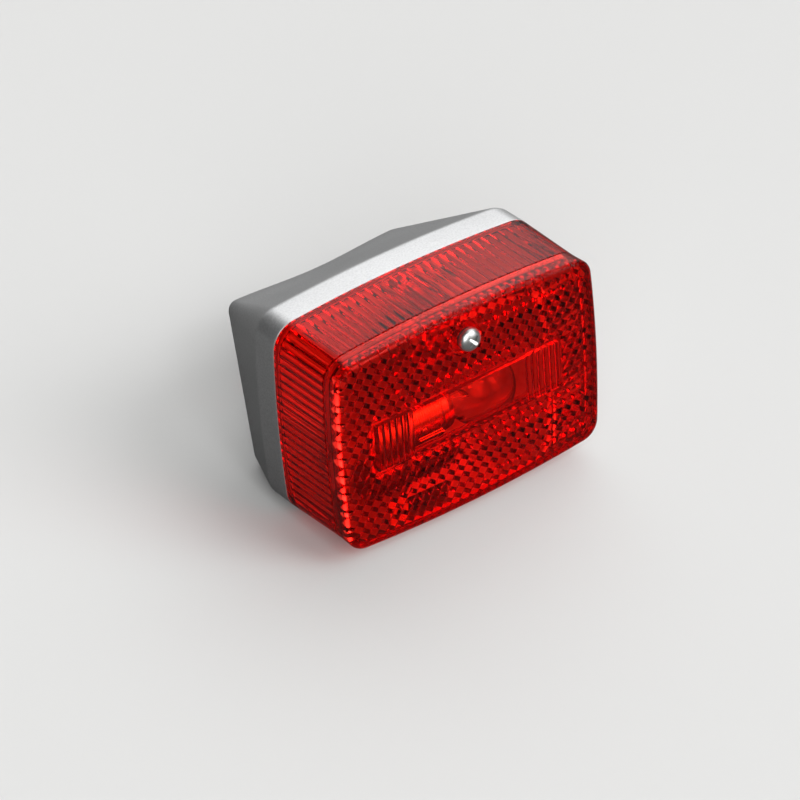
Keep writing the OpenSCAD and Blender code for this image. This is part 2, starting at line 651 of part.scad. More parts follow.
// pressed glass stem with its bead
module bulb_stem() shift() color([0.80, 0.88, 0.90, 0.6]) difference() {
    bulb_turned([[0, cap_end - 4.4], [2.45, cap_end - 4.4],
        [2.45, cap_end - 3.6], [1.5, cap_end + 0.8], [1.5, cap_end + 2.6],
        [0.9, cap_end + 3.2], [0, cap_end + 3.2]], 32);
    for (side = [-1, 1])
        translate([0, side * lead_root_y, 0])
            bulb_rod(cap_end + 2, cap_end + 4, 0.22, 16);
}
// two support wires, each bent outwards to an end of the filament
module bulb_leads() shift() color([0.72, 0.72, 0.70]) {
    bend_x = cap_end + 3.5;
    run = filament_x - bend_x;
    spread = lead_tip_y - lead_root_y;
    for (side = [-1, 1]) {
        translate([0, side * lead_root_y, 0])
            bulb_rod(cap_end + 2.02, cap_end + 3.6, 0.2, 16);
        translate([bend_x, bulb_y + side * lead_root_y, bulb_z])
            rotate([0, 90, atan2(side * spread, run)])
            cylinder(r = 0.18, h = norm([spread, run]), $fn = 16);
        translate([filament_x, bulb_y + side * lead_tip_y, bulb_z])
            sphere(r = 0.3, $fn = 16);
    }
}
module bulb_filament() shift() color([0.35, 0.35, 0.36])
    translate([filament_x, bulb_y, bulb_z]) rotate([0, 0, 90])
        coil(left = -2.3, right = 2.3, coil_r = 0.42, wire_r = 0.1,
            turns = 9, steps = 10, sides = 5);

housing();
lens_gasket();
lens_body();
reflex_cap();
lens_screw();
screw_seal();
bulb_plate();
plate_rivets();
ground_tab();
socket_shell();
seat_washer();
feed_tab();
contact_spring();
contact_disc();
centre_contact();
cable_grommet();
bulb_cap();
bulb_pins();
bulb_insulator();
bulb_contact();
bulb_glass();
bulb_stem();
bulb_leads();
bulb_filament();
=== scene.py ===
# A rectangular lamp: red lens and reflex cap, silver housing with a slanted rear face, and a
# bayonet bulb in its socket. X is the width, Z is up. The lens faces -Y and the housing lies
# towards +Y. The bulb lies along X with its globe towards +X.
import math

import bmesh
import bpy
import numpy as np
from mathutils import Matrix, Vector
from mathutils.bvhtree import BVHTree


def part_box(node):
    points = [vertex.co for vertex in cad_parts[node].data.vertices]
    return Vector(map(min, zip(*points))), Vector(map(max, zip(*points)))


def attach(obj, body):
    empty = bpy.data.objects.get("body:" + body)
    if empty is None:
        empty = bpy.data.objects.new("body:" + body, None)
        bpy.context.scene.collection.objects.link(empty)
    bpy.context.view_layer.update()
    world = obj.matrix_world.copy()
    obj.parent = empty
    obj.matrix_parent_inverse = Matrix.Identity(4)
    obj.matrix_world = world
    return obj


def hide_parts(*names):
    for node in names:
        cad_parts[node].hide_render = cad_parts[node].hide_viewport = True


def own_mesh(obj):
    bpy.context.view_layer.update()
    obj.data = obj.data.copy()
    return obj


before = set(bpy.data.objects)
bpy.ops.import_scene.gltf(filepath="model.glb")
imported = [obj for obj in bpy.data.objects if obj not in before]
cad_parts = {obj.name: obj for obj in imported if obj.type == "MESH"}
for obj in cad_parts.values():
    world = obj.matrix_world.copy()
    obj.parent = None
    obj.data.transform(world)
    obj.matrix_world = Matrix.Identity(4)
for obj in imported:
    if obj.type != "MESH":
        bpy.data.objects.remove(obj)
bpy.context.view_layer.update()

# ---------------------------------------------------------------- driving sizes
# Shapes are worked out in millimetres from the centre of the joint plane between lens and
# housing. ORIGIN is that centre in the row frame, in metres.
housing_low, housing_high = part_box("housing")
ORIGIN = Vector((0.0, housing_low.y, (housing_low.z + housing_high.z) / 2))

# outline seen along Y
HALF_WIDTH = (housing_high.x - housing_low.x) * 500
HALF_HEIGHT = (housing_high.z - housing_low.z) * 500
TOP_BOW = 2.2                       # how far the top and bottom edges bow out
SIDE_BOW = 1.2
CORNER_RADIUS = 8.0
TOP_STEPS, ARC_STEPS, SIDE_STEPS = OUTLINE_STEPS = (36, 18, 24)     # per quarter

# lens, from the joint plane towards the front
SEAM_Y = -21.7                      # weld seam between lens body and reflex cap
FRONT_Y = -28.2                     # front face at its edge
DRAFT = 0.83                        # inset of the walls at the front
SEAM_INSET = DRAFT * SEAM_Y / FRONT_Y
CROWN = 0.57                        # bulge of the front face
WINDOW_WIDTH, WINDOW_HEIGHT, WINDOW_Z = 62.5, 14.5, -0.6
PRISM_PITCH = 3.27
PRISM_STEP = PRISM_PITCH / math.sqrt(6)     # half the height of a corner cube
CAP_INNER_Y = FRONT_Y + 2.0         # inner side of the reflex cap's front wall
SCREW_AXIS = ((0, 0, 22.0), (0, 1, 0))
SCREW_Z = SCREW_AXIS[0][2]

# slanted rear face
REAR_TOP_Y, REAR_TOP_Z = 45.4, 11.1
REAR_BOTTOM_Y, REAR_BOTTOM_Z = 25.0, -29.6
REAR_TOP_HALF_WIDTH, REAR_BOTTOM_HALF_WIDTH = 29.4, 37.7
REAR_DY, REAR_DZ = REAR_TOP_Y - REAR_BOTTOM_Y, REAR_TOP_Z - REAR_BOTTOM_Z
REAR_LENGTH = math.hypot(REAR_DY, REAR_DZ)
REAR_ANGLE = math.atan2(REAR_DY, REAR_DZ)
REAR_NORMAL = np.array([0, math.cos(REAR_ANGLE), -math.sin(REAR_ANGLE)])
REAR_UP = np.array([0, math.sin(REAR_ANGLE), math.cos(REAR_ANGLE)])
REAR_CENTRE = np.array([0, (REAR_TOP_Y + REAR_BOTTOM_Y) / 2, (REAR_TOP_Z + REAR_BOTTOM_Z) / 2])
GROMMET_AXIS = (REAR_CENTRE - REAR_UP * 12, REAR_NORMAL)
PAD_X = 24                          # pads with holes at both sides of the rear face

# bulb, socket and the plate that carries them
BULB_Y, BULB_Z = -10.0, -8.0        # axis of the bulb
PIN_X = -10.0                       # bayonet pins, locked
TIP_X = PIN_X - 7                   # solder contact of the bulb
CAP_END_X = 1.0                     # globe end of the bulb cap
CAP_RADIUS = 7.55
NOSE = 3.1                          # length of the centre contact
DISC_X = TIP_X - 0.03 - NOSE
FEED_FRONT_X = -26.46               # +X face of the feed tab's disc
FEED_X = FEED_FRONT_X - 0.5
EAR_X = -18                         # outer face of the plate's ear
RIVET_X = 10                        # rivets and posts at -X and +X
TAB_BACK_Y, TAB_FRONT_Y = 5.99, 5.19        # ground tab
FILAMENT_X = 9.0
ALONG_X, ALONG_Y, ALONG_Z = 0, 1, 2


def to_frame(p):
    """millimetres from the joint plane to metres in the row frame"""
    return (p[0] / 1000 + ORIGIN.x, p[1] / 1000 + ORIGIN.y, p[2] / 1000 + ORIGIN.z)


def bulb_line(x=0):
    """start point and direction of the bulb axis"""
    return (x, BULB_Y, BULB_Z), (1, 0, 0)


def rivet_line(x, y=0):
    return (x, y, BULB_Z), (0, 1, 0)


# ---------------------------------------------------------------- outlines
def quarter_outline(half_width, half_height, radius, steps):
    """bowed edges with a round corner, from the top centre to the middle of the +X side"""
    top_steps, arc_steps, side_steps = steps
    edge_x, edge_z = half_width - SIDE_BOW, half_height - TOP_BOW

    def top(x):
        return half_height - TOP_BOW * (x / edge_x) ** 2

    def side(z):
        return half_width - SIDE_BOW * (z / edge_z) ** 2

    def top_slope(x):
        return math.atan(2 * TOP_BOW * x / edge_x ** 2)

    def side_slope(z):
        return math.atan(2 * SIDE_BOW * z / edge_z ** 2)

    # settle the arc's centre so that it touches both edges
    x, z = edge_x - radius, edge_z - radius
    for _ in range(8):
        z = top(x) - radius / math.cos(top_slope(x))
        x = side(z) - radius / math.cos(side_slope(z))
    start, end = math.pi / 2 - top_slope(x), side_slope(z)
    arc_x, arc_z = x + radius * math.cos(start), z + radius * math.sin(end)
    points = [(arc_x * i / top_steps, top(arc_x * i / top_steps)) for i in range(top_steps + 1)]
    for i in range(1, arc_steps + 1):
        angle = start + (end - start) * i / arc_steps
        points.append((x + radius * math.cos(angle), z + radius * math.sin(angle)))
    for i in range(1, side_steps + 1):
        side_z = arc_z * (1 - i / side_steps)
        points.append((side(side_z), side_z))
    return points


def outline(inset, radius=None, steps=OUTLINE_STEPS):
    """the closed outline as (x, z), all four quarters"""
    if radius is None:
        radius = max(CORNER_RADIUS - inset, 1.2)
    quarter = quarter_outline(HALF_WIDTH - inset, HALF_HEIGHT - inset, radius, steps)
    return np.array(quarter
                    + [(x, -z) for x, z in quarter[-2::-1]]
                    + [(-x, -z) for x, z in quarter[1:]]
                    + [(-x, z) for x, z in quarter[-2:0:-1]])


def ring(y, inset, radius=None):
    return np.insert(outline(inset, radius), 1, float(y), axis=1)


def bend(first, corner, last, radius, first_steps, arc_steps, last_steps):
    """two straight runs joined by an arc at the corner"""
    first, corner, last = map(np.array, (first, corner, last))
    back = (first - corner) / np.linalg.norm(first - corner)
    ahead = (last - corner) / np.linalg.norm(last - corner)
    half = math.acos(back @ ahead) / 2
    trim = radius / math.tan(half)
    centre = corner + (back + ahead) / np.linalg.norm(back + ahead) * radius / math.sin(half)
    start, end = corner + back * trim, corner + ahead * trim
    start_angle = math.atan2(*(start - centre)[::-1])
    end_angle = math.atan2(*(end - centre)[::-1])
    sweep = (end_angle - start_angle + math.pi) % (2 * math.pi) - math.pi
    points = [tuple(first + (start - first) * i / first_steps) for i in range(first_steps + 1)]
    for i in range(1, arc_steps + 1):
        angle = start_angle + sweep * i / arc_steps
        points.append((centre[0] + radius * math.cos(angle), centre[1] + radius * math.sin(angle)))
    return points + [tuple(end + (last - end) * i / last_steps) for i in range(1, last_steps + 1)]


def rear_ring(depth, inset, top_radius, bottom_radius):
    """outline of the rear face, depth below it; the top edge dips in the middle"""
    top = REAR_LENGTH / 2 - inset
    top_x, bottom_x = REAR_TOP_HALF_WIDTH - inset, REAR_BOTTOM_HALF_WIDTH - inset
    middle_x = (top_x + bottom_x) / 2
    upper = bend((0, top), (top_x, top), (middle_x, 0), top_radius,
                 TOP_STEPS, ARC_STEPS, SIDE_STEPS)
    lower = bend((middle_x, 0), (bottom_x, -top), (0, -top), bottom_radius,
                 SIDE_STEPS, ARC_STEPS, TOP_STEPS)
    half = upper + lower[1:]
    points = []
    for x, u in half + [(-x, u) for x, u in half[-2:0:-1]]:
        across = math.cos(math.pi / 2 * min(abs(x) / top_x, 1)) ** 2
        dip = 1.2 * across * min(max((u - top + 6) / 5, 0), 1)
        points.append(REAR_CENTRE - REAR_NORMAL * depth + np.array([x, 0, 0])
                      + REAR_UP * (u - dip))
    return np.array(points)


def between(first, last, t):
    return first + (last - first) * t


def curved_rings(start, middle, end):
    """six rings on a quadratic curve from start, pulled to middle, ending at end"""
    steps = [i / 6 for i in range(1, 7)]
    return [(1 - t) ** 2 * start + 2 * t * (1 - t) * middle + t * t * end for t in steps]


def arc(centre, radius, start, sweep, steps):
    """points on an arc, angles in degrees"""
    angles = [math.radians(start + sweep * i / steps) for i in range(steps + 1)]
    return [(centre[0] + radius * math.cos(a), centre[1] + radius * math.sin(a)) for a in angles]


# ---------------------------------------------------------------- mesh tools
# Pieces that only join or cut another one keep the default name.
COLLECTION = bpy.context.scene.collection


def mesh_object(verts, faces, name="tool"):
    mesh = bpy.data.meshes.new(name)
    mesh.from_pydata([to_frame(v) for v in verts], [], [list(f) for f in faces])
    mesh.validate()
    obj = bpy.data.objects.new(name, mesh)
    COLLECTION.objects.link(obj)
    bm = bmesh.new()
    bm.from_mesh(mesh)
    bmesh.ops.remove_doubles(bm, verts=bm.verts, dist=1e-7)
    bmesh.ops.recalc_face_normals(bm, faces=bm.faces)
    bm.to_mesh(mesh)
    bm.free()
    return obj


def block(corners):
    """six-sided solid: four corners of one end, then four of the other"""
    return mesh_object(corners, [(0, 1, 2, 3), (4, 7, 6, 5), (0, 4, 5, 1),
                                 (1, 5, 6, 2), (2, 6, 7, 3), (3, 7, 4, 0)])


def loft(rings, name="tool", closed=False):
    """skin over equal rings; closed joins the last to the first, otherwise the ends are capped"""
    count, n = len(rings), len(rings[0])
    faces = []
    for j in range(count if closed else count - 1):
        here, there = j * n, (j + 1) % count * n
        for i in range(n):
            k = (i + 1) % n
            faces.append((here + i, there + i, there + k, here + k))
    if not closed:
        faces.append(tuple(range(n)))
        faces.append(tuple(range((count - 1) * n, count * n))[::-1])
    return mesh_object([tuple(p) for r in rings for p in r], faces, name)


def extrude(points, axis, start, end, name="tool"):
    """points hold the other two coordinates, in x, y, z order"""
    points = np.array(points, float)
    return loft([np.insert(points, axis, at, axis=1) for at in (start, end)], name)


def box(low, high):
    corners = [(low[0], low[1]), (high[0], low[1]), (high[0], high[1]), (low[0], high[1])]
    return extrude(corners, ALONG_Z, low[2], high[2])


def turned(profile, origin, axis, segments=96, name="tool", radius_at=None):
    """solid of revolution. profile: (radius, distance along axis); radius 0 closes an end,
    and a profile that starts off the axis is closed on itself.
    radius_at(angle, distance, radius) may change the radius"""
    axis = Vector(axis).normalized()
    if max(abs(axis.x), abs(axis.y)) > 0.9:
        across = Vector((0, 0, 1))
    else:
        across = axis.orthogonal().normalized()
    third = axis.cross(across)
    origin = Vector(origin)
    verts, faces, rows = [], [], []
    for radius, distance in profile:
        centre = origin + axis * distance
        if radius < 1e-6:
            rows.append([len(verts)])
            verts.append(tuple(centre))
            continue
        rows.append(list(range(len(verts), len(verts) + segments)))
        for i in range(segments):
            a = 2 * math.pi * i / segments
            r = radius_at(a, distance, radius) if radius_at else radius
            verts.append(tuple(centre + (across * math.cos(a) + third * math.sin(a)) * r))
    pairs = list(zip(rows, rows[1:]))
    if len(rows[0]) > 1:
        pairs.append((rows[-1], rows[0]))
    for row, following in pairs:
        if len(row) == 1 and len(following) == 1:
            continue
        for i in range(segments):
            k = (i + 1) % segments
            if len(row) == 1:
                faces.append((row[0], following[i], following[k]))
            elif len(following) == 1:
                faces.append((row[i], following[0], row[k]))
            else:
                faces.append((row[i], following[i], following[k], row[k]))
    return mesh_object(verts, faces, name)


def cylinder(origin, axis, start, end, radius, segments=64, name="tool"):
    profile = [(0, start), (radius, start), (radius, end), (0, end)]
    return turned(profile, origin, axis, segments, name)


def tube(path, radius, sides, name):
    """round wire along a list of points, with its frame carried along"""
    path = [Vector(p) for p in path]
    verts, faces = [], []
    across = (path[1] - path[0]).normalized().orthogonal().normalized()
    for i, point in enumerate(path):
        along = (path[min(i + 1, len(path) - 1)] - path[max(i - 1, 0)]).normalized()
        across = (across - along * across.dot(along)).normalized()
        third = along.cross(across)
        for k in range(sides):
            a = 2 * math.pi * k / sides
            verts.append(tuple(point + (across * math.cos(a) + third * math.sin(a)) * radius))
    last = (len(path) - 1) * sides
    for start in range(0, last, sides):
        for k in range(sides):
            q = (k + 1) % sides
            faces.append((start + k, start + q, start + sides + q, start + sides + k))
    faces.append(tuple(range(sides)))
    faces.append(tuple(range(last, last + sides))[::-1])
    return mesh_object(verts, faces, name)


def combine(target, tool, operation):
    """change the target by the tool, which is used up"""
    modifier = target.modifiers.new("boolean", "BOOLEAN")
    modifier.operation = operation
    modifier.object = tool
    modifier.solver = "MANIFOLD"
    depsgraph = bpy.context.evaluated_depsgraph_get()
    mesh = bpy.data.meshes.new_from_object(target.evaluated_get(depsgraph), depsgraph=depsgraph)
    old = target.data
    target.modifiers.remove(modifier)
    target.data = mesh
    bpy.data.meshes.remove(old)
    bpy.data.objects.remove(tool)
    return target


def add(target, *tools):
    for tool in tools:
        combine(target, tool, "UNION")
    return target


def cut(target, *tools):
    for tool in tools:
        combine(target, tool, "DIFFERENCE")
    return target


def hoop(outer_rings, inner_rings):
    return cut(loft(outer_rings), loft(inner_rings))


def finish_mesh(obj, angle, bevel=None, weighted=True):
    """clean, smooth by angle, and round the edges by bevel millimetres if given"""
    bm = bmesh.new()
    bm.from_mesh(obj.data)
    bmesh.ops.remove_doubles(bm, verts=bm.verts, dist=2e-7)
    bmesh.ops.dissolve_degenerate(bm, edges=bm.edges, dist=2e-7)
    bmesh.ops.recalc_face_normals(bm, faces=bm.faces)
    bm.to_mesh(obj.data)
    bm.free()
    for face in obj.data.polygons:
        face.use_smooth = True
    obj.data.set_sharp_from_angle(angle=math.radians(angle))
    if bevel:
        edge = obj.modifiers.new("edge", "BEVEL")
        edge.width = bevel / 1000
        edge.segments = 2
        edge.limit_method = "ANGLE"
        edge.angle_limit = math.radians(50)
        edge.harden_normals = False
        edge.use_clamp_overlap = True
    if weighted:
        normals = obj.modifiers.new("normals", "WEIGHTED_NORMAL")
        normals.keep_sharp = True
        normals.weight = 90
    return obj


# ---------------------------------------------------------------- shader tools
def new_material(name):
    material = bpy.data.materials.new(name)
    material.use_nodes = True
    material.node_tree.nodes.clear()
    return material, material.node_tree


def node(tree, kind, inputs=None, **settings):
    """new shader node; an input given as a socket is linked, any other value is set"""
    made = tree.nodes.new("ShaderNode" + kind)
    for key, value in settings.items():
        setattr(made, key, value)
    for key, value in (inputs or {}).items():
        if isinstance(value, bpy.types.NodeSocket):
            tree.links.new(value, made.inputs[key])
        else:
            made.inputs[key].default_value = value
    return made


def coordinates(tree, scale=(1, 1, 1)):
    source = node(tree, "TexCoord").outputs["Object"]
    return node(tree, "Mapping", {"Scale": scale, "Vector": source}).outputs["Vector"]


def noise(tree, vector, scale, detail=3, rough=0.5):
    return node(tree, "TexNoise", {"Scale": scale, "Detail": detail, "Roughness": rough,
                                   "Vector": vector}).outputs["Fac"]


def ramp(tree, factor, *stops):
    """stops: (position, colour)"""
    made = node(tree, "ValToRGB", {"Fac": factor})
    elements = made.color_ramp.elements
    while len(elements) > 1:
        elements.remove(elements[-1])
    elements[0].position = stops[0][0]
    elements[0].color = (*stops[0][1], 1)
    for position, colour in stops[1:]:
        elements.new(position).color = (*colour, 1)
    return made.outputs["Color"]


def grey_ramp(tree, factor, low, high):
    return ramp(tree, factor, (0.0, (low,) * 3), (1.0, (high,) * 3))


def shaded_ramp(tree, factor, colour, dark):
    """from the colour times dark up to the full colour"""
    return ramp(tree, factor, (0.3, tuple(c * dark for c in colour)), (0.7, colour))


def bump(tree, height, strength, distance):
    return node(tree, "Bump", {"Strength": strength, "Distance": distance,
                               "Height": height}).outputs["Normal"]


def principled(tree, **inputs):
    inputs = {key.replace("_", " "): value for key, value in inputs.items()}
    return node(tree, "BsdfPrincipled", inputs).outputs["BSDF"]


def transparent(tree, colour):
    return node(tree, "BsdfTransparent", {"Color": colour}).outputs["BSDF"]


def mix_shaders(tree, factor, first, second):
    return node(tree, "MixShader", {"Fac": factor, 1: first, 2: second}).outputs[0]


def mix_colours(tree, factor, first, second, blend="MIX"):
    return node(tree, "MixRGB", {"Fac": factor, "Color1": first, "Color2": second},
                blend_type=blend).outputs["Color"]


def math_node(tree, operation, first, second):
    return node(tree, "Math", {0: first, 1: second}, operation=operation).outputs[0]


def set_output(tree, surface):
    return node(tree, "OutputMaterial", {"Surface": surface})


# ---------------------------------------------------------------- materials
def silver_lacquer():
    """metallic lacquer outside, bare bright reflector inside"""
    material, tree = new_material("silver_lacquer")
    inside = node(tree, "Attribute", attribute_name="inside").outputs["Fac"]
    place = coordinates(tree)
    flake = noise(tree, place, scale=1900, detail=2, rough=0.6)
    cloud = noise(tree, place, scale=45, detail=4, rough=0.55)
    peel = noise(tree, place, scale=420, detail=2, rough=0.5)
    flake_colour = ramp(tree, flake, (0.3, (0.66, 0.665, 0.67)), (0.5, (0.74, 0.745, 0.75)),
                        (0.72, (0.82, 0.825, 0.83)))
    cloud_colour = ramp(tree, cloud, (0.3, (0.88, 0.88, 0.88)), (0.7, (1, 1, 1)))
    lacquer = principled(
        tree, Base_Color=mix_colours(tree, 0.6, flake_colour, cloud_colour, "MULTIPLY"),
        Metallic=0.88, Roughness=grey_ramp(tree, cloud, 0.36, 0.44),
        Normal=bump(tree, peel, strength=0.08, distance=0.00006),
        Coat_Weight=0.25, Coat_Roughness=0.22)
    reflector = principled(tree, Base_Color=grey_ramp(tree, cloud, 0.68, 0.74), Metallic=0.5,
                           Roughness=grey_ramp(tree, cloud, 0.34, 0.42))
    set_output(tree, mix_shaders(tree, inside, lacquer, reflector))
    return material


def mark_inside(obj, skin):
    """1 on the faces that look into the lamp; skin is the outer surface"""
    attribute = obj.data.attributes.new("inside", "FLOAT", "FACE")
    for face in obj.data.polygons:
        centre = face.center
        y, z = (centre[1] - ORIGIN.y) * 1000, (centre[2] - ORIGIN.z) * 1000
        depth = (REAR_CENTRE[1] - y) * REAR_NORMAL[1] + (REAR_CENTRE[2] - z) * REAR_NORMAL[2]
        off_skin = skin.find_nearest(centre)[3] > 0.0004
        attribute.data[face.index].value = 1.0 if off_skin and y > 0.2 and depth > 2.0 else 0.0


def red_clear(name, rough):
    """transparent red moulding: colour grows with the thickness of material"""
    base = (0.99, 0.27, 0.18)
    material, tree = new_material(name)
    place = coordinates(tree)
    flow = noise(tree, place, scale=60)
    haze = noise(tree, place, scale=900, detail=2)
    solid = principled(tree, Base_Color=(*base, 1), Transmission_Weight=1.0, IOR=1.49,
                       Roughness=grey_ramp(tree, haze, rough, rough + 0.03),
                       Specular_Tint=(0.1, 0.1, 0.1, 1),
                       Normal=bump(tree, flow, strength=0.02, distance=0.0002))
    # prisms and flutes scatter the light that falls through to the ground
    ray = node(tree, "LightPath").outputs
    seen_through = math_node(tree, "GREATER_THAN", ray["Transmission Depth"], 0.5)
    tint = mix_colours(tree, seen_through, (*[0.72 * c ** 0.5 for c in base], 1),
                       (*[c ** 0.5 for c in base], 1))
    light_ray = math_node(tree, "MAXIMUM", ray["Is Shadow Ray"], ray["Is Diffuse Ray"])
    output = set_output(tree, mix_shaders(tree, light_ray, solid, transparent(tree, tint)))
    absorption = node(tree, "VolumeAbsorption", {"Color": (0.97, 0.06, 0.03, 1), "Density": 350})
    tree.links.new(absorption.outputs[0], output.inputs["Volume"])
    return material


def metal(name, colour, rough, grain_scale, stretch, bump_strength, dark):
    material, tree = new_material(name)
    grain = noise(tree, coordinates(tree, stretch), grain_scale, detail=4, rough=0.6)
    cloud = noise(tree, coordinates(tree), scale=90, detail=3, rough=0.6)
    set_output(tree, principled(
        tree, Base_Color=shaded_ramp(tree, cloud, colour, dark), Metallic=1.0,
        Roughness=grey_ramp(tree, grain, *rough), Normal=bump(tree, grain, bump_strength, 0.0001)))
    return material


def dull(name, colour, rough, grain_scale, bump_strength, dark, specular):
    material, tree = new_material(name)
    grain = noise(tree, coordinates(tree), grain_scale, detail=4, rough=0.6)
    set_output(tree, principled(
        tree, Base_Color=shaded_ramp(tree, grain, colour, dark),
        Roughness=grey_ramp(tree, grain, *rough), Specular_IOR_Level=specular,
        Normal=bump(tree, grain, bump_strength, 0.0001)))
    return material


def clear_glass(name):
    """clear glass that lets shadow rays through"""
    material, tree = new_material(name)
    waves = noise(tree, coordinates(tree), scale=120, detail=2)
    solid = principled(tree, Base_Color=(0.97, 0.985, 0.99, 1), Transmission_Weight=1.0, IOR=1.5,
                       Roughness=grey_ramp(tree, waves, 0.0, 0.02),
                       Normal=bump(tree, waves, strength=0.02, distance=0.0002))
    shadow_ray = node(tree, "LightPath").outputs["Is Shadow Ray"]
    passing = transparent(tree, (0.95, 0.96, 0.96, 1))
    set_output(tree, mix_shaders(tree, shadow_ray, solid, passing))
    return material


EVEN = (1, 1, 1)
# colour, roughness range, grain scale, grain stretch, bump strength, darkening of the clouds
METALS = {
    "zinc_bright": ((0.72, 0.73, 0.72), (0.26, 0.42), 700, EVEN, 0.10, 0.8),
    "zinc_sheet": ((0.74, 0.75, 0.74), (0.25, 0.42), 240, (1, 1, 8), 0.08, 0.75),
    "rivet_steel": ((0.56, 0.56, 0.57), (0.25, 0.4), 600, EVEN, 0.08, 0.7),
    "spring_steel": ((0.42, 0.43, 0.45), (0.2, 0.35), 900, EVEN, 0.05, 0.7),
    "brass_strip": ((0.78, 0.60, 0.28), (0.2, 0.38), 500, EVEN, 0.06, 0.65),
    "brass_socket": ((0.80, 0.64, 0.34), (0.18, 0.34), 400, (6, 1, 1), 0.05, 0.7),
    "bulb_cap_metal": ((0.80, 0.73, 0.56), (0.16, 0.3), 500, (6, 1, 1), 0.05, 0.8),
    "solder": ((0.58, 0.59, 0.61), (0.3, 0.5), 800, EVEN, 0.25, 0.7),
    "nickel_wire": ((0.66, 0.65, 0.62), (0.2, 0.3), 900, EVEN, 0.03, 0.85),
    "tungsten": ((0.28, 0.28, 0.30), (0.3, 0.45), 2000, EVEN, 0.05, 0.8),
}
# colour, roughness range, grain scale, bump strength, darkening of the grain, specular level
DULLS = {
    "black_rubber": ((0.028, 0.028, 0.030), (0.5, 0.75), 700, 0.3, 0.6, 0.35),
    "fibre": ((0.28, 0.10, 0.04), (0.55, 0.75), 900, 0.3, 0.65, 0.3),
    "phenolic": ((0.07, 0.03, 0.015), (0.3, 0.45), 600, 0.1, 0.6, 0.5),
    "vitrite": ((0.010, 0.010, 0.016), (0.05, 0.15), 200, 0.03, 0.7, 0.6),
}
MATERIALS = {
    "silver_lacquer": silver_lacquer(),
    "red_lens": red_clear("red_lens", rough=0.03),
    "red_reflex": red_clear("red_reflex", rough=0.01),
    **{name: metal(name, *values) for name, values in METALS.items()},
    **{name: dull(name, *values) for name, values in DULLS.items()},
    "bulb_glass_clear": clear_glass("bulb_glass_clear"),
}


# ---------------------------------------------------------------- housing
def housing_solid():
    """outer form: a straight rim that runs into the slanted rear face"""
    rim_end, shoulder = ring(7.9, 0), ring(8.9, 0)
    rear = rear_ring(0, 0, 3.2, 3)
    rings = [ring(0, 0.3), ring(0.08, 0.12), ring(0.28, 0.0), rim_end]
    rings += curved_rings(rim_end, shoulder, between(shoulder, rear, 0.035))
    rings += [between(shoulder, rear, t) for t in (0.12, 0.25, 0.4, 0.55, 0.7, 0.85, 0.955)]
    rings += curved_rings(between(shoulder, rear, 0.955), rear, rear_ring(0, 1.7, 2.2, 2.0))
    return loft(rings, "housing_shell")


def housing_cavity():
    wall = 2.3
    shoulder, rear = ring(8.9, wall), rear_ring(2.8, wall, 3, 2)
    rings = [ring(-1, 4.4), ring(4.4, 4.4), ring(4.8, 4.3), ring(6.4, wall + 0.15),
             ring(7.0, wall), shoulder]
    rings += [between(shoulder, rear, t) for t in (0.2, 0.4, 0.6, 0.8, 0.97)]
    rings += [rear_ring(2.8, wall + 0.7, 2.4, 1.6)]
    return loft(rings)


def behind_rear_face():
    """block behind a plane 1.2 below the rear face"""
    corner = REAR_CENTRE - REAR_NORMAL * 1.2
    sides = ((-60, -60), (60, -60), (60, 60), (-60, 60))
    return block([corner + REAR_NORMAL * depth + np.array([x, 0, 0]) + REAR_UP * u
                  for depth in (0, 40) for x, u in sides])


def plate_posts():
    """posts with gussets that carry the bulb plate"""
    gusset = [(9, BULB_Z - 2), (9, -30.8), (24, -28.6), (40, -28.6), (40, BULB_Z - 2)]    # y, z
    sides = (-RIVET_X, RIVET_X)
    posts = add(*[cylinder(*rivet_line(x), 7, 44, 3.6) for x in sides])
    add(posts, *[extrude(gusset, ALONG_X, x - 1, x + 1) for x in sides])
    return cut(posts, behind_rear_face())


def build_housing():
    housing = housing_solid()
    skin = BVHTree.FromPolygons([v.co[:] for v in housing.data.vertices],
                                [p.vertices[:] for p in housing.data.polygons])
    cut(housing, housing_cavity())
    add(housing, plate_posts())
    # screw boss and the web above it, as (y, z)
    web = [(4.6, SCREW_Z), (4.6, 29), (8.9, 31), (15.5, 27.4), (15.5, SCREW_Z)]
    add(housing, cylinder(*SCREW_AXIS, 0.25, 16, 4.6), extrude(web, ALONG_X, -1.1, 1.1))
    # pads inside the rear face
    pads = [REAR_CENTRE + np.array([x, 0, 0]) for x in (-PAD_X, PAD_X)]
    add(housing, *[cylinder(pad, REAR_NORMAL, -5, -0.8, 6) for pad in pads])
    add(housing, cylinder(*GROMMET_AXIS, -4.4, -1.2, 9.6, 96))
    # gasket groove
    cut(housing, hoop([ring(-1, 1.5), ring(3, 1.5)], [ring(-2, 2.9), ring(4, 2.9)]))
    # screw hole and its countersink
    countersink = [(0, -0.5), (2.6, -0.5), (2.6, 0.25), (1.8, 1.0), (0, 1.0)]
    cut(housing, cylinder(*SCREW_AXIS, -1, 13.5, 1.81), turned(countersink, *SCREW_AXIS, 48))
    # rivet holes, pad holes and the stepped hole for the grommet
    cut(housing, *[cylinder(*rivet_line(x), 5, 17, 1.56, 32) for x in (-RIVET_X, RIVET_X)])
    cut(housing, *[cylinder(pad, REAR_NORMAL, -8, 4, 2.75) for pad in pads])
    cut(housing, cylinder(*GROMMET_AXIS, -8, 4, 6.5, 96), cylinder(*GROMMET_AXIS, -1.6, 4, 8.5, 96))
    finish_mesh(housing, 26, bevel=0.18, weighted=False)
    mark_inside(housing, skin)
    return housing


